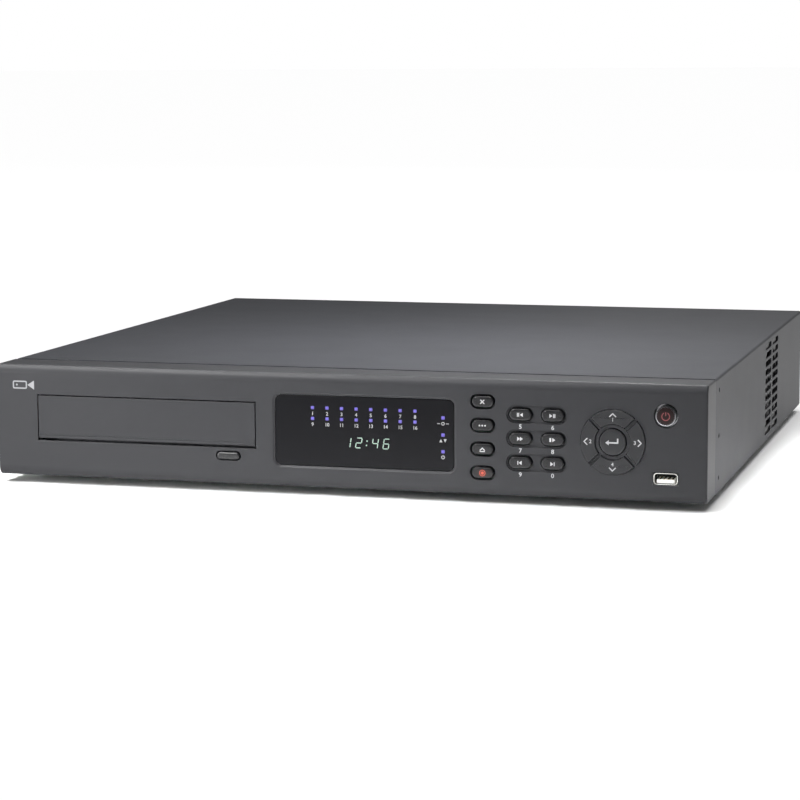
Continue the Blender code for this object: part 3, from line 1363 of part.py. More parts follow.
def make_rear_panel():
    inner = BODY_WIDTH / 2 - SHEET - GAP
    panel = block("rear_panel", (-inner, PANEL_INNER_Y, BASE_Z), (inner, PANEL_Y, TOP_Z - SHEET - GAP))
    keep(panel, CHARCOAL)
    y_low = PANEL_INNER_Y - SHEET
    y_high = PANEL_Y + SHEET
    round_holes = []
    for places, radius in ((VIDEO_PLACES, VIDEO_BARREL_RADIUS), (AUDIO_PLACES, AUDIO_BARREL_RADIUS)):
        for x, z in places:
            name = f"round_hole_{len(round_holes)}"
            round_holes.append(rod_between(name, x, z, radius + SOCKET_CLEARANCE, y_low, y_high, 12))
    port_holes = [
        port_box(name + "_hole", *sizes, grow=SOCKET_CLEARANCE, reach=SHEET)
        for name, sizes in PORTS.items()
    ]
    x, z = terminal_middle()
    grown = 2 * SOCKET_CLEARANCE
    terminal_hole = bar(
        "terminal_hole",
        (x, PANEL_Y, z),
        (TERMINALS * TERMINAL_PITCH + grown, 4 * SHEET, TERMINAL_HEIGHT + grown),
    )
    return cut(
        panel,
        joined("socket_holes", round_holes),
        *port_holes,
        monitor_plug("monitor_hole", SOCKET_CLEARANCE, y_low, y_high),
        terminal_hole,
        inlet_body_hole("panel_inlet_hole", SOCKET_CLEARANCE, y_low, y_high),
        rocker_body_hole("panel_rocker_hole", SOCKET_CLEARANCE, y_low, y_high),
        screw_holes("panel_screw_holes"),
    )


def make_rear_sockets():
    make_socket_block(
        "video_inputs",
        VIDEO_LEFT_X,
        VIDEO_COLUMNS * VIDEO_PITCH,
        VIDEO_PLACES,
        VIDEO_BARREL_RADIUS,
        VIDEO_BORE_RADIUS,
        VIDEO_PIN_RADIUS,
    )
    make_socket_block(
        "audio_sockets",
        AUDIO_LEFT_X,
        AUDIO_COLUMNS * AUDIO_PITCH,
        AUDIO_PLACES,
        AUDIO_BARREL_RADIUS,
        AUDIO_BORE_RADIUS,
        0.0,
    )
    make_small_ports()
    make_monitor_port()
    make_alarm_sockets()


make_bezel()
make_display()
make_keys()
make_key_board()
make_front_usb()
make_disc_drive()
make_base()
make_cover()
make_rear_panel()
make_screws()
make_feet()
make_rack_and_hard_drives()
make_main_board()
make_heat_sink()
make_supply()
make_inlet()
make_rocker()
make_fan()
make_rear_sockets()
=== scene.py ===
import json
import math

import bpy
from mathutils import Matrix, Vector


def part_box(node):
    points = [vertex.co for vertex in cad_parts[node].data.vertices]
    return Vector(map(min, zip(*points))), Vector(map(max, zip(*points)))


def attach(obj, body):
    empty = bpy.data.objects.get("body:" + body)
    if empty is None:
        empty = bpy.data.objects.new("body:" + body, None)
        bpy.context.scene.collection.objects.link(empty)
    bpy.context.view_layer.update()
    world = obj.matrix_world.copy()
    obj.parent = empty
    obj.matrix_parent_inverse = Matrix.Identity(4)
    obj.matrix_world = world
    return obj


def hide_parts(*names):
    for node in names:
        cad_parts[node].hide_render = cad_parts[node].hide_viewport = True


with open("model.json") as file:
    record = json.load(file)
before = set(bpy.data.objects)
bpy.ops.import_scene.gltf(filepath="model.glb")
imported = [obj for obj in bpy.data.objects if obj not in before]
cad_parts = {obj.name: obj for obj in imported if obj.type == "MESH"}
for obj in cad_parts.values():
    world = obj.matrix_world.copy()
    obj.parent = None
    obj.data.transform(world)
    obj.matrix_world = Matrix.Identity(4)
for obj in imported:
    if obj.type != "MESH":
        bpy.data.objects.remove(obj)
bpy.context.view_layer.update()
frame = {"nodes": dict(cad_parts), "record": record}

MM = 0.001
TINY = 1e-6
QUARTER = math.pi / 2
SQUARE_ON = 0.999
CASE = "case"


# --- Places taken from the frame ----------------------------------------------------------------
def corners(node):
    """The lowest and the highest corner of a node at rest."""
    low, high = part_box(node)
    return Vector(low), Vector(high)


def centre_of(node):
    low, high = corners(node)
    return (low + high) / 2


def size_of(node):
    low, high = corners(node)
    return high - low


def middle_of(low, high):
    """X and Z midway between two corners."""
    return (low.x + high.x) / 2, (low.z + high.z) / 2


bezel_low, bezel_high = corners("front_bezel")
cover_low, cover_high = corners("top_cover")
panel_low, panel_high = corners("rear_panel")
LEFT, RIGHT = bezel_low.x, bezel_high.x
BOTTOM, TOP = bezel_low.z, bezel_high.z
MIDDLE = (BOTTOM + TOP) / 2
FACE = bezel_low.y
REAR = cover_high.y
PANEL = panel_high.y


# --- Bench tools: selecting, shaping and joining ------------------------------------------------
def select_none():
    bpy.ops.object.select_all(action="DESELECT")


def take(obj):
    """Makes one object the only selected and active one."""
    select_none()
    obj.select_set(True)
    bpy.context.view_layer.objects.active = obj
    return obj


def settle(obj):
    """Puts the object's place, turn and size into its mesh."""
    take(obj)
    bpy.ops.object.transform_apply(location=True, rotation=True, scale=True)
    return obj


def added(name):
    obj = bpy.context.object
    obj.name = name
    obj.data.name = name
    return obj


def box(name, low, high):
    low = Vector(low)
    high = Vector(high)
    select_none()
    bpy.ops.mesh.primitive_cube_add(size=1, location=(low + high) / 2)
    obj = added(name)
    obj.scale = high - low
    return settle(obj)


def slab(name, x, z, width, height, y_low, y_high):
    """A box about a point in X and Z, between two depths."""
    return box(name, (x - width / 2, y_low, z - height / 2), (x + width / 2, y_high, z + height / 2))


def bar(name, centre, size, turn=0.0):
    """A box about a centre, turned about Y by an angle."""
    select_none()
    bpy.ops.mesh.primitive_cube_add(size=1, location=centre)
    obj = added(name)
    obj.scale = size
    obj.rotation_euler = (0, turn, 0)
    return settle(obj)


LIE_ALONG = {"X": (0, QUARTER, 0), "Y": (QUARTER, 0, 0), "Z": (0, 0, 0)}


def drum(name, centre, radius, depth, along="Y", sides=48):
    """A closed cylinder whose axis lies along X, Y or Z."""
    select_none()
    bpy.ops.mesh.primitive_cylinder_add(
        vertices=sides, radius=radius, depth=depth, location=centre, rotation=LIE_ALONG[along]
    )
    return settle(added(name))


def drum_between(name, x, z, radius, y_low, y_high, sides=48):
    return drum(name, (x, (y_low + y_high) / 2, z), radius, y_high - y_low, "Y", sides)


def mark(obj, kind, test):
    """Selects the faces or edges that pass a test, and leaves the object in edit mode."""
    take(obj)
    mesh = obj.data
    for group in (mesh.polygons, mesh.edges, mesh.vertices):
        group.foreach_set("select", [False] * len(group))
    if kind == "FACE":
        for face in mesh.polygons:
            face.select = bool(test(face.center, face.normal))
    else:
        points = mesh.vertices
        for edge in mesh.edges:
            edge.select = bool(test(points[edge.vertices[0]].co, points[edge.vertices[1]].co))
    bpy.ops.object.mode_set(mode="EDIT")
    bpy.ops.mesh.select_mode(type=kind)
    return obj


def leave_edit():
    bpy.ops.object.mode_set(mode="OBJECT")


def round_edges(obj, test, radius, segments=4):
    mark(obj, "EDGE", test)
    bpy.ops.mesh.bevel(offset=radius, segments=segments, affect="EDGES")
    leave_edit()
    return obj


def merged(obj, reach=0.01 * MM):
    """Merges points that lie on each other, so that no sliver of an edge is left."""
    return whole_mesh(obj, bpy.ops.mesh.remove_doubles, threshold=reach)


ALMOST_HALF = 0.4999


def along_y(a, b):
    return abs(a.x - b.x) < TINY and abs(a.z - b.z) < TINY


def along_x(a, b):
    return abs(a.y - b.y) < TINY and abs(a.z - b.z) < TINY


def upright(a, b):
    return abs(a.x - b.x) < TINY and abs(a.y - b.y) < TINY


def behind(level):
    """A test for edges at or behind a depth."""
    return lambda a, b: min(a.y, b.y) > level - TINY


def at_depth(level):
    """A test for edges that lie at one depth."""
    return lambda a, b: abs(a.y - level) < TINY and abs(b.y - level) < TINY


def whole_mesh(obj, operator, **settings):
    """Runs one edit-mode operator on all of a mesh."""
    take(obj)
    bpy.ops.object.mode_set(mode="EDIT")
    bpy.ops.mesh.select_all(action="SELECT")
    operator(**settings)
    leave_edit()
    return obj


def pill(name, x, z, width, height, y_low, y_high, segments=10):
    """A slab with round ends that lies along X."""
    obj = slab(name, x, z, width, height, y_low, y_high)
    round_edges(obj, along_y, min(width, height) * ALMOST_HALF, segments)
    return merged(obj)


def rounded_slab(name, centre, size, radius, segments=6):
    half = Vector(size) / 2
    obj = box(name, Vector(centre) - half, Vector(centre) + half)
    return round_edges(obj, along_y, radius, segments)


def step_face(obj, direction, steps):
    """Insets the face that looks one way, again and again; each step is (inset, rise)."""
    facing = Vector(direction)
    mark(obj, "FACE", lambda centre, normal: normal.dot(facing) > SQUARE_ON)
    for inset, rise in steps:
        bpy.ops.mesh.inset(thickness=inset, depth=rise)
    leave_edit()
    return obj


def flare(obj, width, depth, rise=0.0):
    """Turns a slab in front of a face into a cutter: a slanted lip, then a straight hole."""
    mark(obj, "FACE", lambda centre, normal: normal.y > SQUARE_ON)
    bpy.ops.mesh.inset(thickness=2 * width, depth=2 * (rise or width))
    bpy.ops.mesh.extrude_region_move(TRANSFORM_OT_translate={"value": (0, depth, 0)})
    leave_edit()
    return obj


def apply_modifiers(obj):
    take(obj)
    for modifier in list(obj.modifiers):
        bpy.ops.object.modifier_apply(modifier=modifier.name)
    return obj


def joined(name, pieces):
    select_none()
    for piece in pieces:
        piece.select_set(True)
    bpy.context.view_layer.objects.active = pieces[0]
    if len(pieces) > 1:
        bpy.ops.object.join()
    pieces[0].name = name
    pieces[0].data.name = name
    return pieces[0]


def carve(obj, tools, operation="DIFFERENCE"):
    """Cuts with, joins to or keeps what is common with other solids, and uses them up."""
    tool = joined(obj.name + "_tool", tools)
    change = obj.modifiers.new("carve", "BOOLEAN")
    change.operation = operation
    change.solver = "EXACT"
    change.object = tool
    apply_modifiers(obj)
    bpy.data.objects.remove(tool)
    return obj


def weld_to(obj, lumps):
    return carve(obj, lumps, "UNION")


def soften(obj, width, segments=2, angle=math.radians(40)):
    """Eases every sharp edge."""
    change = obj.modifiers.new("soften", "BEVEL")
    change.width = width
    change.segments = segments
    change.limit_method = "ANGLE"
    change.angle_limit = angle
    change.use_clamp_overlap = True
    return apply_modifiers(obj)


def smooth(obj, angle=math.radians(35)):
    """Shades round stretches smooth and keeps large flats flat."""
    take(obj)
    bpy.ops.object.shade_smooth_by_angle(angle=angle)
    change = obj.modifiers.new("flat_faces_stay_flat", "WEIGHTED_NORMAL")
    change.keep_sharp = True
    return apply_modifiers(obj)


def copied(obj, name, offset):
    """A copy with its own mesh, moved by an offset."""
    made = obj.copy()
    made.data = obj.data.copy()
    bpy.context.scene.collection.objects.link(made)
    made.name = name
    made.data.name = name
    made.location = offset
    return settle(made)


def place(obj, body, slot, paint="", stands_for=(), angle=math.radians(35)):
    """Finishes a piece: clean normals, shading, its paint and what it rides on."""
    whole_mesh(obj, bpy.ops.mesh.remove_doubles, threshold=TINY)
    whole_mesh(obj, bpy.ops.mesh.normals_make_consistent, inside=False)
    if angle:
        smooth(obj, angle)
    obj.data.materials.clear()
    obj.data.materials.append(PAINT[paint or SLOT_PAINT[slot]])
    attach(obj, body)
    if stands_for:
        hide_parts(*stands_for)
    return obj


def place_marks(name, marks, body, slot, paint="ink"):
    """Joins inked marks into one piece, which keeps its flat shading."""
    return place(joined(name, marks), body, slot, paint, (), 0)


# --- Shared surface effects ---------------------------------------------------------------------
DUST_OUTPUTS = {"Colour": "NodeSocketColor", "Roughness": "NodeSocketFloat"}
SKIN_OUTPUTS = {**DUST_OUTPUTS, "Normal": "NodeSocketVector"}


def new_group(name, inputs, outputs):
    """A node group, what comes into it and the node that sends its results out."""
    group = bpy.data.node_groups.new(name, "ShaderNodeTree")
    for label, value in inputs.items():
        kind = "NodeSocketColor" if isinstance(value, tuple) else "NodeSocketFloat"
        socket = group.interface.new_socket(label, in_out="INPUT", socket_type=kind)
        socket.default_value = value
    for label, kind in outputs.items():
        group.interface.new_socket(label, in_out="OUTPUT", socket_type=kind)
    return group, group.nodes.new("NodeGroupInput").outputs, group.nodes.new("NodeGroupOutput")


def feed(tree, target, inputs):
    """Gives a node its values and incoming links."""
    for label, value in inputs.items():
        if isinstance(value, bpy.types.NodeSocket):
            tree.links.new(value, target.inputs[label])
        else:
            target.inputs[label].default_value = value


def node(tree, kind, inputs=(), **settings):
    """A node with its settings, values and incoming links."""
    made = tree.nodes.new(kind)
    for label, value in settings.items():
        setattr(made, label, value)
    feed(tree, made, dict(inputs))
    return made


def sum_of(tree, operation, *values):
    return node(tree, "ShaderNodeMath", enumerate(values), operation=operation).outputs[0]


def scaled(tree, colour, share):
    made = node(tree, "ShaderNodeVectorMath", {0: colour, "Scale": share}, operation="SCALE")
    return made.outputs["Vector"]


def noise(tree, where, scale, detail, roughness=0.5):
    values = {"Vector": where, "Scale": scale, "Detail": detail, "Roughness": roughness}
    return node(tree, "ShaderNodeTexNoise", values).outputs["Fac"]


def object_place(tree):
    return node(tree, "ShaderNodeTexCoord").outputs["Object"]


def send_skin(group, result, given, uneven, tone, spread, bump):
    """Sends out a colour, a roughness and a normal that follow an unevenness about nought."""
    height, distance = bump
    bumped = {"Strength": given["Bump"], "Distance": distance, "Height": height}
    colour = scaled(group, given["Colour"], sum_of(group, "MULTIPLY_ADD", uneven, given[tone], 1.0))
    rough = sum_of(group, "MULTIPLY_ADD", uneven, given[spread], given["Roughness"])
    normal = node(group, "ShaderNodeBump", bumped).outputs["Normal"]
    feed(group, result, {"Colour": colour, "Roughness": rough, "Normal": normal})
    return group


def fine_grain_group():
    """Small even unevenness of a moulded or powder-coated skin: a tone, a roughness and a normal."""
    inputs = {
        "Colour": (0.1, 0.1, 0.1, 1.0),
        "Grain per metre": 2500.0,
        "Bump": 0.1,
        "Roughness": 0.5,
        "Roughness spread": 0.08,
        "Tone spread": 0.1,
    }
    group, given, result = new_group("fine_grain", inputs, SKIN_OUTPUTS)
    where = object_place(group)
    speckle = noise(group, where, given["Grain per metre"], 3.0)
    cloud = noise(group, where, 14.0, 4.0, 0.6)
    uneven = sum_of(group, "SUBTRACT", sum_of(group, "ADD", speckle, cloud), 1.0)
    return send_skin(
        group, result, given, uneven, "Tone spread", "Roughness spread", (speckle, 0.05 * MM)
    )


def dust_group():
    """Dust that settles on what looks up: pales the colour and dulls the surface."""
    inputs = {
        "Colour": (0.1, 0.1, 0.1, 1.0),
        "Dust colour": (0.35, 0.35, 0.34, 1.0),
        "Roughness": 0.5,
        "Amount": 0.1,
    }
    group, given, result = new_group("settled_dust", inputs, DUST_OUTPUTS)
    normal = node(group, "ShaderNodeNewGeometry").outputs["Normal"]
    upward = node(group, "ShaderNodeSeparateXYZ", {"Vector": normal}).outputs["Z"]
    slope = {"Value": upward, "From Min": 0.5, "From Max": 1.0}
    lying = node(group, "ShaderNodeMapRange", slope, interpolation_type="SMOOTHSTEP")
    patches = noise(group, object_place(group), 9.0, 6.0, 0.7)
    share = sum_of(group, "MULTIPLY", patches, lying.outputs["Result"])
    mask = sum_of(group, "MULTIPLY", share, given["Amount"])
    colours = {0: mask, 6: given["Colour"], 7: given["Dust colour"]}
    blend = node(group, "ShaderNodeMix", colours, data_type="RGBA")
    rough = sum_of(group, "MULTIPLY_ADD", mask, 0.3, given["Roughness"])
    feed(group, result, {"Colour": blend.outputs[2], "Roughness": rough})
    return group


def streak_group():
    """Long fine streaks of rolled or brushed metal along one axis."""
    inputs = {"Colour": (0.6, 0.6, 0.6, 1.0), "Roughness": 0.3, "Spread": 0.15, "Bump": 0.1}
    group, given, result = new_group("rolled_streaks", inputs, SKIN_OUTPUTS)
    drawn_out = {"Vector": object_place(group), "Scale": (60.0, 2500.0, 2500.0)}
    stretched = node(group, "ShaderNodeMapping", drawn_out).outputs["Vector"]
    streaks = noise(group, stretched, 1.0, 3.0)
    uneven = sum_of(group, "SUBTRACT", streaks, 0.5)
    return send_skin(group, result, given, uneven, "Spread", "Spread", (streaks, 0.03 * MM))


GRAIN = fine_grain_group()
DUST = dust_group()
STREAKS = streak_group()


# --- Materials ----------------------------------------------------------------------------------
def new_material(name):
    made = bpy.data.materials.new(name)
    made.use_nodes = True
    return made, made.node_tree, made.node_tree.nodes["Principled BSDF"]


def grained(
    name, colour, roughness, bump=0.1, grain=2500.0, tone=0.1, dust=0.0, spread=0.08, specular=0.5
):
    """A moulded or painted surface with fine grain, and dust on what looks up."""
    made, tree, shader = new_material(name)
    values = {
        "Colour": (*colour, 1.0),
        "Grain per metre": grain,
        "Bump": bump,
        "Roughness": roughness,
        "Roughness spread": spread,
        "Tone spread": tone,
    }
    skin = node(tree, "ShaderNodeGroup", node_tree=GRAIN)
    feed(tree, skin, values)
    surface = skin.outputs
    if dust:
        settled = node(tree, "ShaderNodeGroup", node_tree=DUST)
        dusted = {"Colour": surface["Colour"], "Roughness": surface["Roughness"], "Amount": dust}
        feed(tree, settled, dusted)
        surface = settled.outputs
    feed(tree, shader, {"Base Color": surface["Colour"], "Roughness": surface["Roughness"]})
    feed(tree, shader, {"Normal": skin.outputs["Normal"], "Specular IOR Level": specular})
    return made


def metal(name, colour, roughness, spread=0.15, bump=0.1):
    """Bare metal with fine streaks."""
    made, tree, shader = new_material(name)
    skin = node(tree, "ShaderNodeGroup", node_tree=STREAKS)
    feed(tree, skin, {"Colour": (*colour, 1.0), "Roughness": roughness, "Spread": spread, "Bump": bump})
    feed(tree, shader, {"Base Color": skin.outputs["Colour"], "Roughness": skin.outputs["Roughness"]})
    feed(tree, shader, {"Normal": skin.outputs["Normal"], "Metallic": 1.0})
    return made


def circuit(name):
    """Green solder mask with pale copper runs showing through."""
    made, tree, shader = new_material(name)
    where = object_place(tree)
    spots = {"Vector": where, "Scale": 260.0}
    cells = node(tree, "ShaderNodeTexVoronoi", spots, distance="MANHATTAN", feature="F1")
    tracks = {
        "Vector": where,
        "Scale": 320.0,
        "Mortar Size": 0.03,
        "Bias": -0.2,
        "Color1": (0.012, 0.085, 0.035, 1.0),
        "Color2": (0.010, 0.070, 0.030, 1.0),
        "Mortar": (0.05, 0.20, 0.08, 1.0),
    }
    runs = node(tree, "ShaderNodeTexBrick", tracks)
    sheen = {"Value": cells.outputs["Distance"], "To Min": 0.3, "To Max": 0.5}
    rough = node(tree, "ShaderNodeMapRange", sheen)
    feed(tree, shader, {"Base Color": runs.outputs["Color"], "Roughness": rough.outputs["Result"]})
    return made


def glowing(name, colour, edge):
    """A lit lamp face, bright in its middle and dim at its rim, on the piece's own UV map."""
    made, tree, shader = new_material(name)
    where = node(tree, "ShaderNodeTexCoord").outputs["UV"]
    from_middle = {0: where, 1: (0.5, 0.5, 0.0)}
    centred = node(tree, "ShaderNodeVectorMath", from_middle, operation="SUBTRACT").outputs["Vector"]
    far = node(tree, "ShaderNodeVectorMath", {0: centred}, operation="LENGTH").outputs["Value"]
    dimming = {"Value": far, "From Min": 0.05, "From Max": 0.62, "To Min": 1.0, "To Max": edge}
    fade = node(tree, "ShaderNodeMapRange", dimming).outputs["Result"]
    feed(tree, shader, {"Emission Color": scaled(tree, colour, fade), "Emission Strength": 1.0})
    feed(tree, shader, {"Base Color": (*(part * 0.3 for part in colour), 1.0), "Roughness": 0.4})
    return made


CHARCOAL = (0.027, 0.0273, 0.0298)
PAINT = {
    "bezel": grained(
        "charcoal_moulding", CHARCOAL, 0.42, bump=0.12, tone=0.05, dust=0.02, specular=0.17
    ),
    "case": grained(
        "charcoal_powder_coat", (0.029, 0.030, 0.034), 0.45, bump=0.3, grain=1600.0, tone=0.07,
        dust=0.02, specular=0.125
    ),
    "pad": grained(
        "charcoal_pad_keys", (0.021, 0.0213, 0.023), 0.32, bump=0.08, tone=0.05, specular=0.22
    ),
    "key": grained(
        "black_key_caps", (0.009, 0.009, 0.010), 0.28, bump=0.05, grain=3500.0, tone=0.08, specular=0.3
    ),
    "eject": grained(
        "charcoal_eject_cap", (0.012, 0.012, 0.013), 0.28, bump=0.05, tone=0.06, specular=0.4
    ),
    "rim": metal("dark_chrome_rim", (0.26, 0.26, 0.27), 0.22, spread=0.05, bump=0.02),
    "power_disc": grained(
        "wine_black_disc", (0.009, 0.004, 0.004), 0.3, bump=0.03, tone=0.08, specular=0.22
    ),
    "window": grained(
        "dark_window", (0.005, 0.005, 0.006), 0.12, bump=0.0, tone=0.05, spread=0.03, specular=0.1
    ),
    "black": grained("satin_black_moulding", (0.016, 0.016, 0.017), 0.45, bump=0.2, grain=1800.0),
    "white": grained("white_moulding", (0.75, 0.75, 0.72), 0.4, bump=0.05, tone=0.04),
    "green": grained("green_moulding", (0.020, 0.26, 0.09), 0.42, bump=0.08),
    "rubber": grained("foot_rubber", (0.018, 0.018, 0.018), 0.85, bump=0.5, grain=1200.0, dust=0.1),
    "zinc": metal("zinc_plated_sheet", (0.56, 0.57, 0.58), 0.38, spread=0.25, bump=0.06),
    "steel": metal("bright_steel", (0.70, 0.69, 0.66), 0.24),
    "aluminium": metal("cast_aluminium", (0.72, 0.73, 0.74), 0.42, spread=0.3, bump=0.2),
    "dark_steel": metal("blackened_steel", (0.10, 0.10, 0.11), 0.35, spread=0.1),
    "nickel": metal("nickel_plate", (0.66, 0.64, 0.60), 0.20, spread=0.08, bump=0.03),
    "blue": grained("blue_moulding", (0.02, 0.06, 0.38), 0.4, bump=0.05),
    "gold": metal("gold_contacts", (0.80, 0.58, 0.25), 0.25),
    "circuit": circuit("circuit_board_green"),
    "ink": grained("white_ink", (0.50, 0.50, 0.51), 0.5, bump=0.05, tone=0.06),
    "pale_ink": grained("pale_grey_ink", (0.36, 0.36, 0.37), 0.5, bump=0.05, tone=0.06),
    "sign_ink": grained("dull_sign_ink", (0.24, 0.24, 0.25), 0.5, bump=0.05, tone=0.06),
    "red_ink": grained("red_ink", (0.48, 0.075, 0.04), 0.45, bump=0.05, tone=0.1),
    "dim_red": grained("dim_red_ink", (0.16, 0.028, 0.030), 0.4, bump=0.05, tone=0.1),
    "violet": glowing("violet_lamps", (0.13, 0.10, 0.50), 0.3),
    "clock": glowing("pale_green_digits", (0.36, 0.50, 0.42), 0.7),
    "red": grained("red_ring", (0.55, 0.03, 0.03), 0.4),
}
SLOT_PAINT = {
    "bezel_plastic": "bezel",
    "case_paint": "case",
    "window_plastic": "window",
    "key_plastic": "key",
    "black_plastic": "black",
    "zinc_sheet": "zinc",
    "bright_steel": "steel",
    "cast_aluminium": "aluminium",
    "circuit_board": "circuit",
    "white_plastic": "white",
    "green_plastic": "green",
    "foot_rubber": "rubber",
}
NODE_PAINT = {"drive_case": "dark_steel", "lamp_mask": "black"}


def paint_carried_nodes():
    """Gives every node that came with the frame the finish of its slot."""
    for part in frame["record"]["subparts"]:
        shape = frame["nodes"][part["node"]]
        paint = NODE_PAINT.get(part["node"], SLOT_PAINT[part["material_slot"]])
        for slot in shape.material_slots:
            slot.material = PAINT[paint]


# --- Front moulding -----------------------------------------------------------------------------
KEY_FLANGE = 0.8 * MM
KEY_GAP = 0.45 * MM
PILL_KEYS = {
    name: (centre_of(name), size_of(name) - Vector((2 * KEY_FLANGE, 0, 2 * KEY_FLANGE)))
    for name in (
        "escape_key",
        "function_key",
        "shift_key",
        "record_key",
        "reverse_key",
        "play_key",
        "fast_key",
        "slow_key",
        "previous_key",
        "next_key",
    )
}
FUNCTION_KEYS = ("escape_key", "function_key", "shift_key", "record_key")
PLAY_ROWS = (("reverse_key", "play_key"), ("fast_key", "slow_key"), ("previous_key", "next_key"))
PAD_CENTRE = centre_of("enter_key")
PAD_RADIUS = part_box("up_key")[1][2] - MIDDLE
PAD_HOLE = 10.5 * MM
PAD_SPOKE = 1.8 * MM
ENTER_RADIUS = size_of("enter_key").x / 2 - KEY_FLANGE
POWER_CENTRE = centre_of("power_button")
POWER_RADIUS = size_of("power_button").x / 2 - KEY_FLANGE
EJECT_CENTRE = centre_of("eject_button")
EJECT_SIZE = size_of("eject_button") - Vector((2 * KEY_FLANGE, 0, 2 * KEY_FLANGE))
USB_CENTRE = centre_of("front_usb_shell")
USB_SIZE = size_of("front_usb_shell")
DOOR_LOW, DOOR_HIGH = corners("tray_door")
WINDOW_CENTRE = centre_of("display_window")
WINDOW_SIZE = size_of("display_window")
FACE_WALL = 3.0 * MM
FRONT_OF_FACE = 1.0 * MM
BEHIND_FACE = 8.0 * MM
RECESS = 1.1 * MM
RECESS_MARGIN = 1.15 * MM
SEAM_LENGTH = 4.0 * MM
SEAM_DEPTH = 0.6 * MM
DOOR_GAP = 0.6 * MM
DOOR_FLOOR_GAP = 1.6 * MM
WINDOW_GAP = 0.3 * MM
PAD_GAP = 0.28 * MM
RECESS_LIP = 0.45 * MM


def slab_stretch(lip):
    """Where a cutter's slab stands in front of the face before its lip is flared."""
    return FACE - lip - FRONT_OF_FACE, FACE - lip


def pill_tool(name, x, z, width, height, lip, depth=BEHIND_FACE):
    grown = 4 * lip
    obj = pill(name, x, z, width + grown, height + grown, *slab_stretch(lip))
    return flare(obj, lip, depth)


def disc_tool(name, x, z, radius, lip, depth=BEHIND_FACE):
    obj = drum_between(name, x, z, radius + 2 * lip, *slab_stretch(lip), sides=64)
    return flare(obj, lip, depth)


def slab_tool(name, low, high, lip, corner=0.0, depth=BEHIND_FACE, rise=0.0):
    """A rectangular cutter between two corners given in X and Z."""
    y_low, y_high = slab_stretch(rise or lip)
    reach = 2 * lip
    obj = box(name, (low[0] - reach, y_low, low[1] - reach), (high[0] + reach, y_high, high[1] + reach))
    if corner:
        round_edges(obj, along_y, corner + reach, 8)
    return flare(obj, lip, depth, rise)


def ring_sectors(name, outer, inner, spoke, y_low, y_high):
    """Four sectors of a ring, parted by a diagonal cross."""
    x, z = PAD_CENTRE.x, PAD_CENTRE.z
    ring = drum_between(name, x, z, outer, y_low, y_high, sides=96)
    carve(ring, [drum_between("pad_middle", x, z, inner, y_low - MM, y_high + MM, sides=64)])
    at = (x, (y_low + y_high) / 2, z)
    for turn in (QUARTER / 2, -QUARTER / 2):
        carve(ring, [bar("pad_cross", at, (3 * outer, 2 * (y_high - y_low), spoke), turn)])
    return ring


def around(centre, size, gap):
    """Two opposite corners in X and Z, a gap outside a piece."""
    reach_x, reach_z = size.x / 2 + gap, size.z / 2 + gap
    return (centre.x - reach_x, centre.z - reach_z), (centre.x + reach_x, centre.z + reach_z)


def lean_edge(body, at_edge, reach, share, level):
    """Rounds a long front edge over a tall band that only leans back a little."""
    round_edges(body, at_edge, reach, 12)
    in_band = lambda centre, normal: centre.y < FACE + reach and abs(centre.z - level) < reach
    mark(body, "FACE", in_band)
    bpy.ops.transform.resize(value=(1, share, 1), center_override=(0, FACE, level))
    leave_edit()


def bezel_body():
    """The hollow moulding: its face leans back to a crisp crease at the top and a soft edge below."""
    above = 3.0 * MM
    top_round = 9.0 * MM
    body = box("front_moulding", bezel_low, bezel_high + Vector((0, 0, above)))
    on_face = lambda a, b: max(a.y, b.y) < FACE + TINY
    top_edge = lambda a, b: on_face(a, b) and min(a.z, b.z) > TOP + above - TINY
    low_edge = lambda a, b: on_face(a, b) and max(a.z, b.z) < BOTTOM + TINY
    crease = lambda a, b: min(a.z, b.z) > TOP - TINY and max(a.y, b.y) < FACE + top_round
    round_edges(body, top_edge, top_round, 12)
    back = bezel_high.y + MM
    carve(body, [box("lid", (LEFT - MM, FACE - MM, TOP), (RIGHT + MM, back, TOP + 2 * above))])
    round_edges(body, crease, 0.45 * MM, 3)
    lean_edge(body, low_edge, 6.5 * MM, 0.55, BOTTOM)

    def end_rim(a, b):
        on_end = abs(abs(a.x) - RIGHT) < TINY and abs(a.x - b.x) < TINY
        return on_end and min(a.y, b.y) < bezel_high.y - TINY

    round_edges(body, end_rim, 1.2 * MM, 6)
    wall = 2.5 * MM
    inner_low = (LEFT + wall, FACE + FACE_WALL, BOTTOM + wall)
    carve(body, [box("hollow", inner_low, (RIGHT - wall, bezel_high.y + FACE_WALL, TOP - wall))])
    seam_low = (LEFT - MM, bezel_high.y - SEAM_LENGTH, TOP - SEAM_DEPTH)
    return carve(body, [box("seam", seam_low, (RIGHT + MM, back, TOP + MM))])


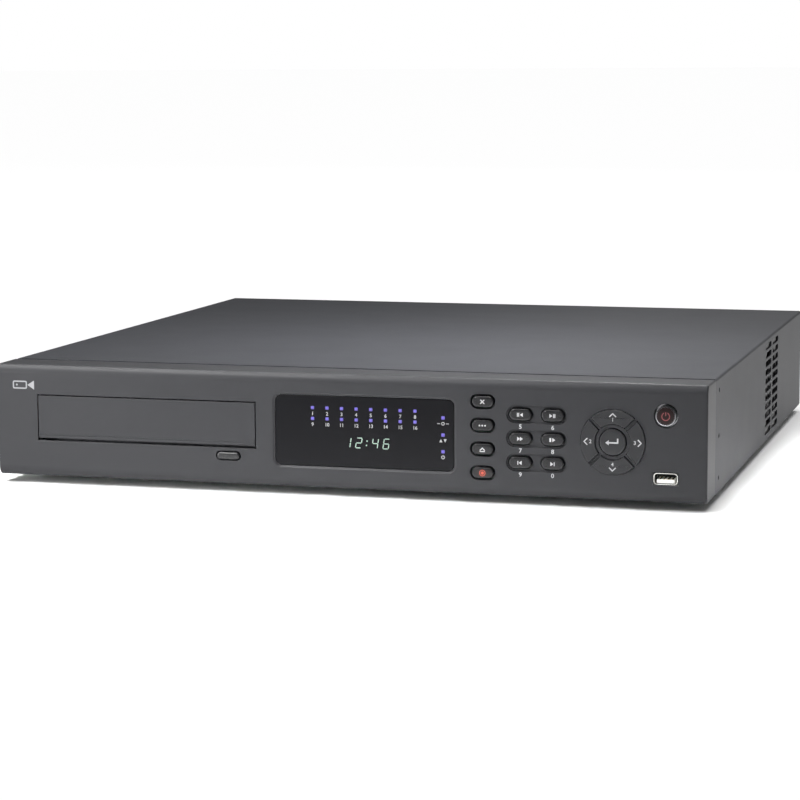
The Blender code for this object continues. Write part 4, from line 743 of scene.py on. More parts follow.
def make_bezel():
    body = bezel_body()
    door_low = (DOOR_LOW.x - DOOR_GAP, DOOR_LOW.z - DOOR_FLOOR_GAP)
    door_high = (DOOR_HIGH.x + DOOR_GAP, DOOR_HIGH.z + DOOR_GAP)
    window = around(WINDOW_CENTRE, WINDOW_SIZE, WINDOW_GAP)
    usb = around(USB_CENTRE, USB_SIZE, KEY_GAP)
    power, pad, eject = POWER_CENTRE, PAD_CENTRE, EJECT_CENTRE
    width, height = EJECT_SIZE.x + 1.5 * MM, EJECT_SIZE.z + 1.5 * MM
    first = [
        slab_tool("door_hole", door_low, door_high, 0.25 * MM),
        slab_tool("window_hole", *window, 1.3 * MM, corner=4.0 * MM, rise=0.8 * MM),
        slab_tool("usb_hole", *usb, 0.04 * MM),
        disc_tool("power_hole", power.x, power.z, POWER_RADIUS + 0.95 * MM, 0.25 * MM),
        disc_tool("enter_hole", pad.x, pad.z, ENTER_RADIUS + 0.5 * MM, 0.2 * MM),
        pill_tool("eject_hole", eject.x, eject.z, width, height, 0.2 * MM),
    ]
    for name in FUNCTION_KEYS:
        at, size = PILL_KEYS[name]
        width, height = size.x + 2 * RECESS_MARGIN, size.z + 2 * RECESS_MARGIN
        first.append(pill_tool(name + "_hole", at.x, at.z, width, height, 0.28 * MM))
    carve(body, first)
    recesses = []
    holes = []
    through = (FACE - FRONT_OF_FACE, FACE + BEHIND_FACE)
    for left_name, right_name in PLAY_ROWS:
        left, size = PILL_KEYS[left_name]
        right, _ = PILL_KEYS[right_name]
        middle = (left.x + right.x) / 2
        width, height = right.x - left.x + size.x + 3.0 * MM, size.z + 2.9 * MM
        recess = ("pair_recess", middle, left.z, width, height, RECESS_LIP, RECESS - RECESS_LIP)
        recesses.append(pill_tool(*recess))
        width, height = size.x + 1.6 * MM, size.z + 1.6 * MM
        holes += [pill("pair_hole", at.x, at.z, width, height, *through) for at in (left, right)]
    carve(body, recesses)
    carve(body, holes)
    outer, inner, spoke = PAD_RADIUS + PAD_GAP, PAD_HOLE - PAD_GAP, PAD_SPOKE - 2 * PAD_GAP
    carve(body, [ring_sectors("pad_holes", outer, inner, spoke, *through)])
    place(body, CASE, "bezel_plastic", "bezel", ("front_bezel",), math.radians(20))


def make_door():
    """The tray's door, with a shallow lip along its bottom edge."""
    door = box("disc_tray_door", DOOR_LOW, DOOR_HIGH)
    level = DOOR_LOW.z + 1.9 * MM
    groove_high = (DOOR_HIGH.x + MM, FACE + 0.25 * MM, level + 0.35 * MM)
    carve(door, [box("lip_groove", (DOOR_LOW.x - MM, FACE - MM, level), groove_high)])
    soften(door, 0.22 * MM, 2)
    place(door, "tray", "bezel_plastic", "bezel", ("tray_door",))


def make_window():
    window = rounded_slab("dark_window_panel", WINDOW_CENTRE, WINDOW_SIZE, 3.7 * MM, 8)
    rim = WINDOW_CENTRE.y - WINDOW_SIZE.y / 2
    round_edges(window, at_depth(rim), 0.35 * MM, 3)
    place(window, CASE, "window_plastic", "window", ("display_window",))


# --- Keys and their markings --------------------------------------------------------------------
INK = 0.05 * MM
FIGURE_SHARE = 0.69
FIGURE_WEIGHT = 0.018
CAP_SINK = 0.07 * MM
DOME = ((0.08 * MM, 0.20 * MM), (0.18 * MM, 0.22 * MM), (0.40 * MM, 0.20 * MM), (0.70 * MM, 0.14 * MM))
DOME_RISE = sum(rise for _, rise in DOME)
FLANGE_BACK = FACE + 5.2 * MM
FLANGE_FRONT = FLANGE_BACK - MM
CAP_BACK = FLANGE_BACK - 0.5 * MM
STEM_RADIUS = 1.5 * MM
CAP_ANGLE = math.radians(50)


def text(name, words, x, z, height, y, facing=1):
    """Figures standing on a face; facing is 1 towards the front and -1 towards the rear."""
    select_none()
    bpy.ops.object.text_add(location=(x, y, z), rotation=(QUARTER, 0, 0 if facing > 0 else math.pi))
    obj = added(name)
    obj.data.body = words
    obj.data.size = height / FIGURE_SHARE
    obj.data.align_x = "CENTER"
    obj.data.align_y = "CENTER"
    obj.data.extrude = INK
    obj.data.offset = FIGURE_WEIGHT * height
    obj.data.resolution_u = 3
    take(obj)
    bpy.ops.object.convert(target="MESH")
    return settle(bpy.context.object)


def stroke(name, start, end, width, y):
    """A straight inked bar between two points given in X and Z."""
    dx, dz = end[0] - start[0], end[1] - start[1]
    middle = ((start[0] + end[0]) / 2, y, (start[1] + end[1]) / 2)
    return bar(name, middle, (math.hypot(dx, dz) + width * 0.6, 2 * INK, width), -math.atan2(dz, dx))


WAYS = {"up": (0, 1), "down": (0, -1), "left": (-1, 0), "right": (1, 0)}
TURN_TO_POINT = {"up": 0.0, "right": QUARTER, "down": 2 * QUARTER, "left": -QUARTER}


def triangle(name, x, z, length, width, way, y):
    """A solid arrow head whose middle is at x, z."""
    select_none()
    bpy.ops.mesh.primitive_cylinder_add(vertices=3, radius=1, depth=1, rotation=(-QUARTER, 0, 0))
    obj = added(name)
    settle(obj)
    low = min(vertex.co.z for vertex in obj.data.vertices)
    tip_up = sum(1 for vertex in obj.data.vertices if vertex.co.z < low + 0.1) == 4
    obj.scale = (width / math.sqrt(3), 2 * INK, length / 1.5)
    obj.location = (0, 0, (-0.25 if tip_up else 0.25) * length / 1.5)
    settle(obj)
    turn = TURN_TO_POINT[way] + (0.0 if tip_up else math.pi)
    obj.rotation_euler = (0, turn, 0)
    obj.location = (x, y, z)
    return settle(obj)


def chevron(name, x, z, way, y, span=3.6 * MM, width=0.62 * MM):
    """An open arrow head of two strokes that meet at its tip."""
    half = span / 2
    tip_x, tip_z = WAYS[way]
    tip = (x + tip_x * half / 2, z + tip_z * half / 2)
    arms = []
    for side in (-1, 1):
        end_x = tip[0] - tip_x * half + side * tip_z * half
        end_z = tip[1] - tip_z * half + side * tip_x * half
        arms.append(stroke(name, tip, (end_x, end_z), width, y))
    return arms


def disc_mark(name, x, z, radius, y):
    return drum(name, (x, y, z), radius, 2 * INK, "Y", 20)


def ring_mark(name, x, z, radius, width, y, opening=0.0):
    """A thin inked ring, open at its top when an opening is given."""
    ring = drum(name, (x, y, z), radius, 2 * INK, "Y", 32)
    carve(ring, [drum(name + "_hole", (x, y, z), radius - width, 6 * INK, "Y", 32)])
    if opening:
        half = opening / 2
        carve(ring, [box("gap", (x - half, y - MM, z), (x + half, y + MM, z + 2 * radius))])
    return ring


def with_flange(cap, flange, x, z, back):
    """Joins a cap to its flange and to the stem that reaches its switch."""
    stem = drum_between("stem", x, z, STEM_RADIUS, CAP_BACK, back, 20)
    return weld_to(weld_to(cap, [flange]), [stem])


def pill_cap(name):
    """A domed cap with round ends, its skirt and the flange that keeps it behind the face."""
    low, high = corners(name)
    x, z = middle_of(low, high)
    width, height = high.x - low.x, high.z - low.z
    front = low.y + CAP_SINK + DOME_RISE
    cap = pill(name + "_cap", x, z, width - 2 * KEY_FLANGE, height - 2 * KEY_FLANGE, front, CAP_BACK)
    step_face(cap, (0, -1, 0), DOME)
    flange = pill("flange", x, z, width, height, FLANGE_FRONT, FLANGE_BACK)
    return with_flange(cap, flange, x, z, high.y)


def key_marks(name):
    """The marks on one key: a list of inked shapes."""
    low, high = corners(name)
    x, z = middle_of(low, high)
    y = low.y + INK
    tall = 2.4 * MM
    half = 0.4 * tall

    def bar_at(offset):
        at = x + offset * MM
        return stroke("upright", (at, z - half), (at, z + half), 0.5 * MM, y)

    def head(offset, way):
        return triangle("head", x + offset * MM, z, 1.7 * MM, tall, way, y)

    if name == "escape_key":
        left, right = x - 1.05 * MM, x + 1.05 * MM
        below, above = z - 1.05 * MM, z + 1.05 * MM
        pairs = (((left, below), (right, above)), ((left, above), (right, below)))
        return [stroke("cross", start, end, 0.6 * MM, y) for start, end in pairs]
    if name == "function_key":
        return [disc_mark("dot", x + step * 1.7 * MM, z, 0.5 * MM, y) for step in (-1, 0, 1)]
    if name == "shift_key":
        arrow = chevron("raise", x, z + 0.1 * MM, "up", y, 2.6 * MM, 0.55 * MM)
        level = z - 1.3 * MM
        return arrow + [stroke("foot", (x - 1.4 * MM, level), (x + 1.4 * MM, level), 0.5 * MM, y)]
    if name == "record_key":
        dot = disc_mark("record_dot", x, z, 0.95 * MM, y)
        return [dot, ring_mark("record_ring", x, z, 1.9 * MM, 0.42 * MM, y)]
    shapes = {
        "reverse_key": ((-1.5, ""), (-0.75, ""), (0.85, "left")),
        "play_key": ((-0.85, "right"), (0.75, ""), (1.5, "")),
        "fast_key": ((-0.8, "right"), (0.9, "right")),
        "slow_key": ((-1.4, ""), (-0.9, ""), (0.9, "right")),
        "previous_key": ((-1.2, ""), (0.2, "left")),
        "next_key": ((-0.2, "right"), (1.2, "")),
    }
    return [head(offset, way) if way else bar_at(offset) for offset, way in shapes[name]]


def make_pill_keys():
    for name in PILL_KEYS:
        place(pill_cap(name), name + "_moving", "key_plastic", "key", (name,), CAP_ANGLE)
        ink = "red_ink" if name == "record_key" else "ink"
        place_marks(name + "_marks", key_marks(name), name + "_moving", "key_plastic", ink)
    cap = pill_cap("eject_button")
    place(cap, "eject_button_moving", "key_plastic", "eject", ("eject_button",), CAP_ANGLE)


def make_play_numbers():
    """The figures printed on the face under the play keys."""
    below = 7.2 * MM
    made = []
    for name, figure in zip((name for row in PLAY_ROWS for name in row), "567890"):
        at, _ = PILL_KEYS[name]
        made.append(text("figure", figure, at.x, at.z - below, 2.5 * MM, FACE + INK * 0.5))
    place_marks("play_key_numbers", made, CASE, "bezel_plastic")


ARROW_FIGURES = {"up": "1", "left": "2", "right": "3", "down": "4"}


def sector_cap(name, way, rim):
    """One quarter of the ring, with eased rims."""
    ring = ring_sectors(name + "_cap", PAD_RADIUS, PAD_HOLE, PAD_SPOKE, rim, FACE + 4.6 * MM)
    half = 1.5 * PAD_RADIUS
    side = 2 * half * math.sqrt(0.5)
    out = Vector((WAYS[way][0], 0, WAYS[way][1])) * half
    middle = Vector((PAD_CENTRE.x, FACE, PAD_CENTRE.z))
    carve(ring, [bar("quarter", middle + out, (side, 60 * MM, side), QUARTER / 2)], "INTERSECT")
    return round_edges(ring, at_depth(rim), 0.45 * MM, 4)


def make_pad():
    """Four arrow keys round the enter key, each with its arrow and its figure."""
    for way, figure in ARROW_FIGURES.items():
        name = way + "_key"
        front = corners(name)[0].y
        cap = sector_cap(name, way, front + CAP_SINK)
        place(cap, name + "_moving", "key_plastic", "pad", (name,), CAP_ANGLE)
        tip_x, tip_z = WAYS[way]
        x, z, y = PAD_CENTRE.x, PAD_CENTRE.z, front + INK
        out, inner = 15.8 * MM, 13.0 * MM
        marks = chevron("arrow", x + tip_x * out, z + tip_z * out, way, y)
        marks.append(text("figure", figure, x + tip_x * inner, z + tip_z * inner, 2.1 * MM, y))
        place_marks(name + "_marks", marks, name + "_moving", "key_plastic")


def make_enter_key():
    low, high = corners("enter_key")
    x, z = PAD_CENTRE.x, PAD_CENTRE.z
    steps = [(0.12 * MM, 0.22 * MM), (0.3 * MM, 0.16 * MM),
             (0.8 * MM, 0.12 * MM), (1.6 * MM, 0.06 * MM)]
    front = low.y + CAP_SINK + sum(rise for _, rise in steps)
    cap = drum_between("enter_key_cap", *middle_of(low, high), ENTER_RADIUS, front, CAP_BACK, 64)
    step_face(cap, (0, -1, 0), steps)
    radius = ENTER_RADIUS + KEY_FLANGE
    flange = drum_between("flange", *middle_of(low, high), radius, FLANGE_FRONT, FLANGE_BACK, 48)
    with_flange(cap, flange, *middle_of(low, high), high.y)
    place(cap, "enter_key_moving", "key_plastic", "pad", ("enter_key",), CAP_ANGLE)
    y = low.y + INK
    left, right, level = x - 2.7 * MM, x + 3.0 * MM, z - 0.3 * MM
    marks = [
        stroke("shaft", (left, level), (right, level), 0.8 * MM, y),
        stroke("riser", (right, level), (right, level + 2.3 * MM), 0.8 * MM, y),
        triangle("head", left - 0.5 * MM, level, 2.0 * MM, 3.0 * MM, "left", y),
    ]
    place_marks("enter_key_marks", marks, "enter_key_moving", "key_plastic")


def make_power_button():
    """A black cap inside a bright rim, with a dim red power sign."""
    low, high = corners("power_button")
    x, z, front = POWER_CENTRE.x, POWER_CENTRE.z, low.y
    cap = drum_between("power_rim", x, z, POWER_RADIUS, front + 0.42 * MM, CAP_BACK, 64)
    rim_steps = [(0.15 * MM, 0.3 * MM), (0.45 * MM, 0.12 * MM), (0.35 * MM, -0.45 * MM)]
    step_face(cap, (0, -1, 0), rim_steps)
    radius = POWER_RADIUS + KEY_FLANGE
    with_flange(cap, drum_between("flange", x, z, radius, FLANGE_FRONT, FLANGE_BACK, 48), x, z, high.y)
    body = "power_button_moving"
    place(cap, body, "key_plastic", "rim", ("power_button",), math.radians(40))
    radius = POWER_RADIUS - 1.0 * MM
    disc = drum_between("power_disc", x, z, radius, front + 0.35 * MM, front + 1.2 * MM, 48)
    step_face(disc, (0, -1, 0), [(0.3 * MM, 0.08 * MM), (1.2 * MM, 0.08 * MM), (1.6 * MM, 0.03 * MM)])
    place(disc, body, "key_plastic", "power_disc", (), CAP_ANGLE)
    y = front + 0.14 * MM
    marks = [
        ring_mark("power_ring", x, z - 0.2 * MM, 2.5 * MM, 0.55 * MM, y, 2.0 * MM),
        stroke("power_line", (x, z + 0.3 * MM), (x, z + 2.2 * MM), 0.55 * MM, y),
    ]
    place_marks("power_sign", marks, body, "key_plastic", "dim_red")


# --- Display ------------------------------------------------------------------------------------
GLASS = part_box("display_window")[0][1]
LIT_DEPTH = 0.12 * MM
LAMP_PITCH = 9.03 * MM
FIRST_LAMP = -16.35 * MM
LAMP_ROWS = ((48.2 * MM, 44.6 * MM), (41.7 * MM, 38.1 * MM))
STATUS_X = 63.9 * MM
STATUS_LEVELS = (44.75 * MM, 34.6 * MM, 24.7 * MM)
CLOCK_PLACES = {"1": 5.5 * MM, "2": 12.3 * MM, "4": 22.4 * MM, "6": 29.2 * MM}
CLOCK_LEVEL = 28.0 * MM
COLON_X = 17.2 * MM
SEGMENTS = {
    "a": "02356789",
    "b": "01234789",
    "c": "013456789",
    "d": "0235689",
    "e": "0268",
    "f": "045689",
    "g": "2345689",
}


def light_up(obj):
    """Spreads the lamp's glow over its front face."""
    mark(obj, "FACE", lambda centre, normal: normal.y < -SQUARE_ON)
    bpy.ops.uv.reset()
    leave_edit()
    return obj


def lamp(name, x, z, width, height):
    """A lit square behind the window, with its own rim."""
    return light_up(rounded_slab(name, (x, GLASS, z), (width, LIT_DEPTH, height), width * 0.18, 2))


def digit_bars(figure, x, z, width, height, lean):
    """Lit bars of one figure; the uprights lean to the right."""
    thick = 0.52 * MM
    shift = math.tan(lean) * height / 4
    half = height / 4
    level = {"a": (2 * half, 2 * shift), "g": (0, 0), "d": (-2 * half, -2 * shift)}
    posts = {"f": (-1, 1), "b": (1, 1), "e": (-1, -1), "c": (1, -1)}
    made = []
    for part in (part for part, figures in SEGMENTS.items() if figure in figures):
        if part in level:
            rise, push = level[part]
            centre = (x + push, GLASS, z + rise)
            size, turn = (width - thick * 0.7, LIT_DEPTH, thick), 0.0
        else:
            side, up = posts[part]
            centre = (x + side * width / 2 + up * shift, GLASS, z + up * half)
            size, turn = (thick, LIT_DEPTH, height / 2 - thick * 0.7), lean
        made.append(bar("bar", centre, size, turn))
    return [light_up(round_edges(obj, along_y, thick * 0.3, 1)) for obj in made]


def make_display():
    lamps = []
    numbers = []
    for column in range(8):
        x = FIRST_LAMP + column * LAMP_PITCH
        for row, (lamp_level, number_level) in enumerate(LAMP_ROWS):
            lamps.append(lamp("lamp", x, BOTTOM + lamp_level, 2.0 * MM, 1.9 * MM))
            figure = str(column + 1 + 8 * row)
            numbers.append(text("number", figure, x, BOTTOM + number_level, 2.0 * MM, GLASS))
    for level in STATUS_LEVELS:
        lamps.append(lamp("lamp", STATUS_X, BOTTOM + level, 2.1 * MM, 2.0 * MM))
    place_marks("channel_and_status_lamps", lamps, CASE, "window_plastic", "violet")
    place_marks("channel_numbers", numbers, CASE, "window_plastic", "pale_ink")
    make_status_signs()
    digits = []
    z = BOTTOM + CLOCK_LEVEL
    for figure, x in CLOCK_PLACES.items():
        digits += digit_bars(figure, x, z, 3.3 * MM, 5.9 * MM, math.radians(9))
    for rise in (-1.3 * MM, 1.3 * MM):
        digits.append(lamp("colon", COLON_X + rise * 0.16, z + rise, 0.7 * MM, 0.8 * MM))
    place_marks("clock_digits", digits, CASE, "window_plastic", "clock")


def make_status_signs():
    """Small signs under the three status lamps: a ringed line, two-way arrows and a power sign."""
    x, y = STATUS_X, GLASS
    z = BOTTOM + 41.3 * MM
    made = [ring_mark("state_ring", x, z, 1.0 * MM, 0.35 * MM, y)]
    for start, end in ((1.9 * MM, 3.4 * MM), (-3.4 * MM, -1.9 * MM)):
        made.append(stroke("state_line", (x + start, z), (x + end, z), 0.4 * MM, y))
    z = BOTTOM + 31.2 * MM
    for side, way in ((-1, "up"), (1, "down")):
        made.append(triangle("traffic", x + side * 1.3 * MM, z, 1.9 * MM, 1.8 * MM, way, y))
    z = BOTTOM + 21.4 * MM
    made.append(ring_mark("power_ring", x, z, 1.1 * MM, 0.35 * MM, y, 0.9 * MM))
    made.append(stroke("power_line", (x, z + 0.2 * MM), (x, z + 1.2 * MM), 0.35 * MM, y))
    place_marks("status_signs", made, CASE, "window_plastic", "pale_ink")


def make_camera_sign():
    """A small generic camera sign at the face's top left corner."""
    x, z, y = -203.0 * MM, BOTTOM + 56.2 * MM, FACE + INK * 0.5
    middle = (x - 1.6 * MM, y, z)
    body = rounded_slab("sign_body", middle, (9.4 * MM, 2 * INK, 5.0 * MM), 1.0 * MM, 3)
    carve(body, [rounded_slab("sign_window", middle, (7.8 * MM, MM, 3.4 * MM), 0.5 * MM, 3)])
    nose = triangle("sign_nose", x + 5.6 * MM, z, 4.4 * MM, 5.6 * MM, "left", y)
    dot = disc_mark("sign_dot", x - 3.6 * MM, z, 0.6 * MM, y)
    place_marks("camera_sign", [body, nose, dot], CASE, "bezel_plastic", "sign_ink")


# --- Front USB socket ---------------------------------------------------------------------------
def make_front_usb():
    low, high = corners("front_usb_shell")
    centre, size = (low + high) / 2, high - low
    x, z = centre.x, centre.z
    back = corners("front_usb_tongue")[1].y
    shell = rounded_slab("usb_sleeve", centre, size, 2.1 * MM, 6)
    bore_size = (size.x - 0.9 * MM, size.y + 4 * MM, size.z - 0.9 * MM)
    carve(shell, [rounded_slab("bore", centre - Vector((0, MM, 0)), bore_size, 1.7 * MM, 6)])
    soften(shell, 0.1 * MM, 2)
    place(shell, CASE, "bright_steel", "steel", ("front_usb_shell",))
    core_low = (x - 5.2 * MM, low.y + 0.7 * MM, low.z + 0.8 * MM)
    core = box("usb_tongue", core_low, (x + 5.2 * MM, back - 1.0 * MM, low.z + 3.0 * MM))
    soften(core, 0.15 * MM, 2)
    place(core, CASE, "white_plastic", "white", ("front_usb_tongue",))
    wall_low = (x - 6.2 * MM, back - 4.0 * MM, low.z + 0.6 * MM)
    wall = box("usb_back", wall_low, (x + 6.2 * MM, back, high.z - 0.6 * MM))
    step_face(wall, (0, -1, 0), [(0.6 * MM, -0.5 * MM)])
    place(wall, CASE, "white_plastic", "black")
    collar = slab("usb_collar", x, z, 18.0 * MM, 11.0 * MM, FACE + 3.3 * MM, FACE + 4.5 * MM)
    hole_size = (size.x + 0.2 * MM, size.y, size.z + 0.2 * MM)
    carve(collar, [rounded_slab("hole", centre, hole_size, 2.1 * MM, 6)])
    soften(collar, 0.2 * MM, 1)
    place(collar, CASE, "black_plastic")
    pins = []
    for index in range(4):
        at = x + (index - 1.5) * 2.4 * MM
        pin_low = (at - 0.5 * MM, low.y + 1.1 * MM, low.z + 2.95 * MM)
        pins.append(box("pin", pin_low, (at + 0.5 * MM, back - 4 * MM, low.z + 3.1 * MM)))
    blades = joined("usb_contacts", pins)
    soften(blades, 0.03 * MM, 1)
    place(blades, CASE, "bright_steel", "gold")


# --- Sheet-metal case ---------------------------------------------------------------------------
SHEET = 1.0 * MM
VENT_LENGTH = 28 * MM
VENT_HEIGHT = 3.8 * MM
VENT_ROW_PITCH = 5.7 * MM
VENT_COLUMN_PITCH = 34 * MM
VENT_ROWS = 11
VENT_Y = centre_of("fan_frame").y
COVER_LIP = 9 * MM
EAR_LEVELS = (61 * MM, 34 * MM, 9 * MM)
EAR_FROM_FACE = 42 * MM
SCREW_PLACES = [centre_of(f"cover_screw_{index}") for index in (1, 2, 3, 4)]


def vent_tools():
    slots = []
    half = VENT_LENGTH / 2
    for column in (-0.5, 0.5):
        for row in range(VENT_ROWS):
            y = VENT_Y + column * VENT_COLUMN_PITCH
            z = MIDDLE + (row - (VENT_ROWS - 1) / 2) * VENT_ROW_PITCH
            low = (LEFT - MM, y - half, z - VENT_HEIGHT / 2)
            slot = box("slot", low, (RIGHT + MM, y + half, z + VENT_HEIGHT / 2))
            slots.append(round_edges(slot, along_x, VENT_HEIGHT * 0.49, 4))
    return slots


def ear_dimples():
    """Shallow painted-over seats where rack ears bolt on, near the front of both sides."""
    seats = []
    for side in (LEFT, RIGHT):
        for level in EAR_LEVELS:
            at = (side, FACE + EAR_FROM_FACE, BOTTOM + level)
            seats.append(drum("seat", at, 2.6 * MM, 0.5 * MM, "X", 24))
            seats.append(drum("seat", at, 1.4 * MM, 1.2 * MM, "X", 16))
    return seats


def screw_bores(depth):
    return [drum("bore", (at.x, depth, at.z), 1.8 * MM, 4 * MM, "Y", 16) for at in SCREW_PLACES]


def make_cover():
    """The folded cover: soft folds, slotted sides, ear seats and a drilled lip over the rear panel."""
    cover = box("folded_cover", cover_low, cover_high)
    folds = lambda a, b: along_y(a, b) and a.z > TOP - TINY
    round_edges(cover, folds, 1.6 * MM, 8)
    front_lip = lambda a, b: max(a.y, b.y) < cover_low.y + TINY and min(a.z, b.z) > TOP - TINY
    round_edges(cover, front_lip, 0.55 * MM, 1)
    rear_fold = lambda a, b: min(a.y, b.y) > REAR - TINY and min(a.z, b.z) > TOP - TINY
    round_edges(cover, rear_fold, 1.0 * MM, 4)
    left, right, under = LEFT + SHEET, RIGHT - SHEET, cover_low.z - MM
    inner_low = (left, cover_low.y - MM, under)
    carve(cover, [box("hollow", inner_low, (right, REAR - SHEET, TOP - SHEET))])
    hole_low = (left, REAR - 2 * SHEET, under)
    carve(cover, [box("rear_hole", hole_low, (right, REAR + MM, TOP - COVER_LIP))])
    carve(cover, vent_tools())
    carve(cover, ear_dimples())
    carve(cover, screw_bores(REAR))
    soften(cover, 0.18 * MM, 1, math.radians(50))
    place(cover, CASE, "case_paint", "case", ("top_cover",), math.radians(25))


def make_screws():
    """Pan-head screws with a cross slot, one copied to every place."""
    for index, at in enumerate(SCREW_PLACES):
        name = f"cover_screw_{index + 1}"
        low, high = corners(name)
        head = drum_between(name + "_head", at.x, at.z, 2.8 * MM, REAR + 0.3 * MM, high.y, 32)
        round_edges(head, behind(high.y), 0.8 * MM, 4)
        middle = (at.x, high.y, at.z)
        for turn in (QUARTER / 2, 3 * QUARTER / 2):
            carve(head, [bar("slot", middle, (3.0 * MM, 1.4 * MM, 0.6 * MM), turn)])
        shank = drum_between("shank", at.x, at.z, 1.5 * MM, low.y, REAR + 0.5 * MM, 16)
        weld_to(head, [shank])
        place(head, CASE, "bright_steel", "dark_steel", (name,))


def make_feet():
    for name in ("front_left_foot", "front_right_foot", "rear_left_foot", "rear_right_foot"):
        low, high = corners(name)
        middle = (low + high) / 2
        radius = (high.x - low.x) / 2
        foot = drum(name + "_pad", (middle.x, middle.y, middle.z), radius, high.z - low.z, "Z", 48)
        on_floor = lambda a, b: max(a.z, b.z) < low.z + TINY
        round_edges(foot, on_floor, 1.2 * MM, 4)
        ring = drum("ring", (middle.x, middle.y, low.z), radius - 3.0 * MM, 1.6 * MM, "Z", 40)
        carve(foot, [ring])
        core = drum("core", (middle.x, middle.y, low.z + 1.2 * MM), 3.6 * MM, 1.4 * MM, "Z", 24)
        weld_to(foot, [core])
        place(foot, CASE, "foot_rubber", "rubber", (name,))


# --- Disc tray ----------------------------------------------------------------------------------
DISC_RADIUS = 60.5 * MM


def make_tray():
    """The tray with its stepped disc recesses, finger scoops and pickup opening."""
    low, high = corners("disc_tray")
    x = (low.x + high.x) / 2
    disc_y = FACE + 12 * MM + DISC_RADIUS
    tray = box("disc_tray_moulding", low, high)
    rear_corner = lambda a, b: upright(a, b) and a.y > high.y - TINY
    round_edges(tray, rear_corner, 6 * MM, 5)
    carve(tray, [drum("large_recess", (x, disc_y, high.z), DISC_RADIUS, 2.6 * MM, "Z", 96)])
    carve(tray, [drum("small_recess", (x, disc_y, high.z), 40.5 * MM, 4.6 * MM, "Z", 80)])
    slot_high = (x + 18 * MM, high.y - 20 * MM, high.z + MM)
    slot = box("pickup", (x - 18 * MM, disc_y - 16 * MM, low.z - MM), slot_high)
    round_edges(slot, upright, 14 * MM, 8)
    carve(tray, [slot])
    scoop_places = [(x + side * 62 * MM, disc_y, high.z + 6 * MM) for side in (-1, 1)]
    carve(tray, [drum("scoop", at, 12 * MM, 14 * MM, "Z", 40) for at in scoop_places])
    soften(tray, 0.3 * MM, 2)
    place(tray, "tray", "black_plastic", "black", ("disc_tray",))


# --- Rear panel and sockets ---------------------------------------------------------------------
VIDEO_PITCH = 14.5 * MM
VIDEO_ROW_PITCH = 16 * MM
AUDIO_PITCH = 13 * MM
video_low, video_high = corners("video_inputs")
audio_low, audio_high = corners("audio_sockets")
FIRST_ROW = video_high.z - 1.5 * VIDEO_ROW_PITCH
TIP = video_high.y
SOCKET_FACE = panel_low.y - 0.3 * MM


def two_rows(left, pitch, count):
    """Places of sockets in two rows, in X and Z."""
    levels = (FIRST_ROW, FIRST_ROW + VIDEO_ROW_PITCH)
    return [(left + (column + 0.5) * pitch, level) for level in levels for column in range(count)]


VIDEO_PLACES = two_rows(video_low.x, VIDEO_PITCH, 8)
AUDIO_PLACES = two_rows(audio_low.x, AUDIO_PITCH, 3)
MONITOR_RISE = 6.25 * MM
MONITOR_TAPER = 0.82
BARREL_RADIUS = 4.8 * MM
SLEEVE_RADIUS = 4.2 * MM
INLET_SIZE = (27.5 * MM, 20 * MM)
ROCKER_SIZE = (15 * MM, 21 * MM)
REAR_SLOT_X = -170 * MM
REAR_SLOT_PITCH = 6 * MM
PORTS = ("picture_port", "rear_usb_port", "network_port")


def port_box(name, grow=0.0):
    low, high = corners(name)
    edge = Vector((grow, 0, grow))
    return box(name + "_tool", low - edge, high + edge)


def wide_hole(x, z, width, height, corner=0.0):
    obj = slab("panel_hole", x, z, width, height, panel_low.y - MM, panel_high.y + MM)
    return round_edges(obj, along_y, corner, 3) if corner else obj


def monitor_shape(name, width, height, y_low, y_high):
    """A slab with slanted sides and soft corners, as the shell of a monitor socket."""
    x = centre_of("monitor_port").x
    low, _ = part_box("monitor_port")
    z = low[2] + MONITOR_RISE
    obj = slab(name, x, z, width, height, y_low, y_high)
    mark(obj, "FACE", lambda centre, normal: normal.z < -SQUARE_ON)
    bpy.ops.transform.resize(value=(MONITOR_TAPER, 1, 1))
    leave_edit()
    return round_edges(obj, along_y, 1.2 * MM, 4), x, z


def make_panel():
    panel = box("rear_plate", panel_low, panel_high)
    grow = 0.4 * MM
    rounds = []
    for places, radius in ((VIDEO_PLACES, BARREL_RADIUS), (AUDIO_PLACES, SLEEVE_RADIUS)):
        rounds += [drum("hole", (x, PANEL, z), radius + grow, 4 * MM, "Y", 32) for x, z in places]
    carve(panel, rounds)
    holes = [port_box(name, grow) for name in PORTS]
    through = (panel_low.y - MM, panel_high.y + MM)
    holes.append(monitor_shape("monitor_hole", 17.7 * MM, 9.1 * MM, *through)[0])
    block = size_of("alarm_terminals")
    for name, width, height in (
        ("alarm_terminals", block.x, block.z),
        ("mains_inlet", *INLET_SIZE),
        ("rocker_frame", *ROCKER_SIZE),
    ):
        at = centre_of(name)
        holes.append(wide_hole(at.x, at.z, width + 2 * grow, height + 2 * grow))
    holes += screw_bores(PANEL)
    carve(panel, holes)
    slot_places = [REAR_SLOT_X + index * REAR_SLOT_PITCH for index in range(14)]
    level = MIDDLE + 19 * MM
    carve(panel, [wide_hole(x, level, 3.0 * MM, 12 * MM, 1.4 * MM) for x in slot_places])
    place(panel, CASE, "case_paint", "case", ("rear_panel",), math.radians(25))


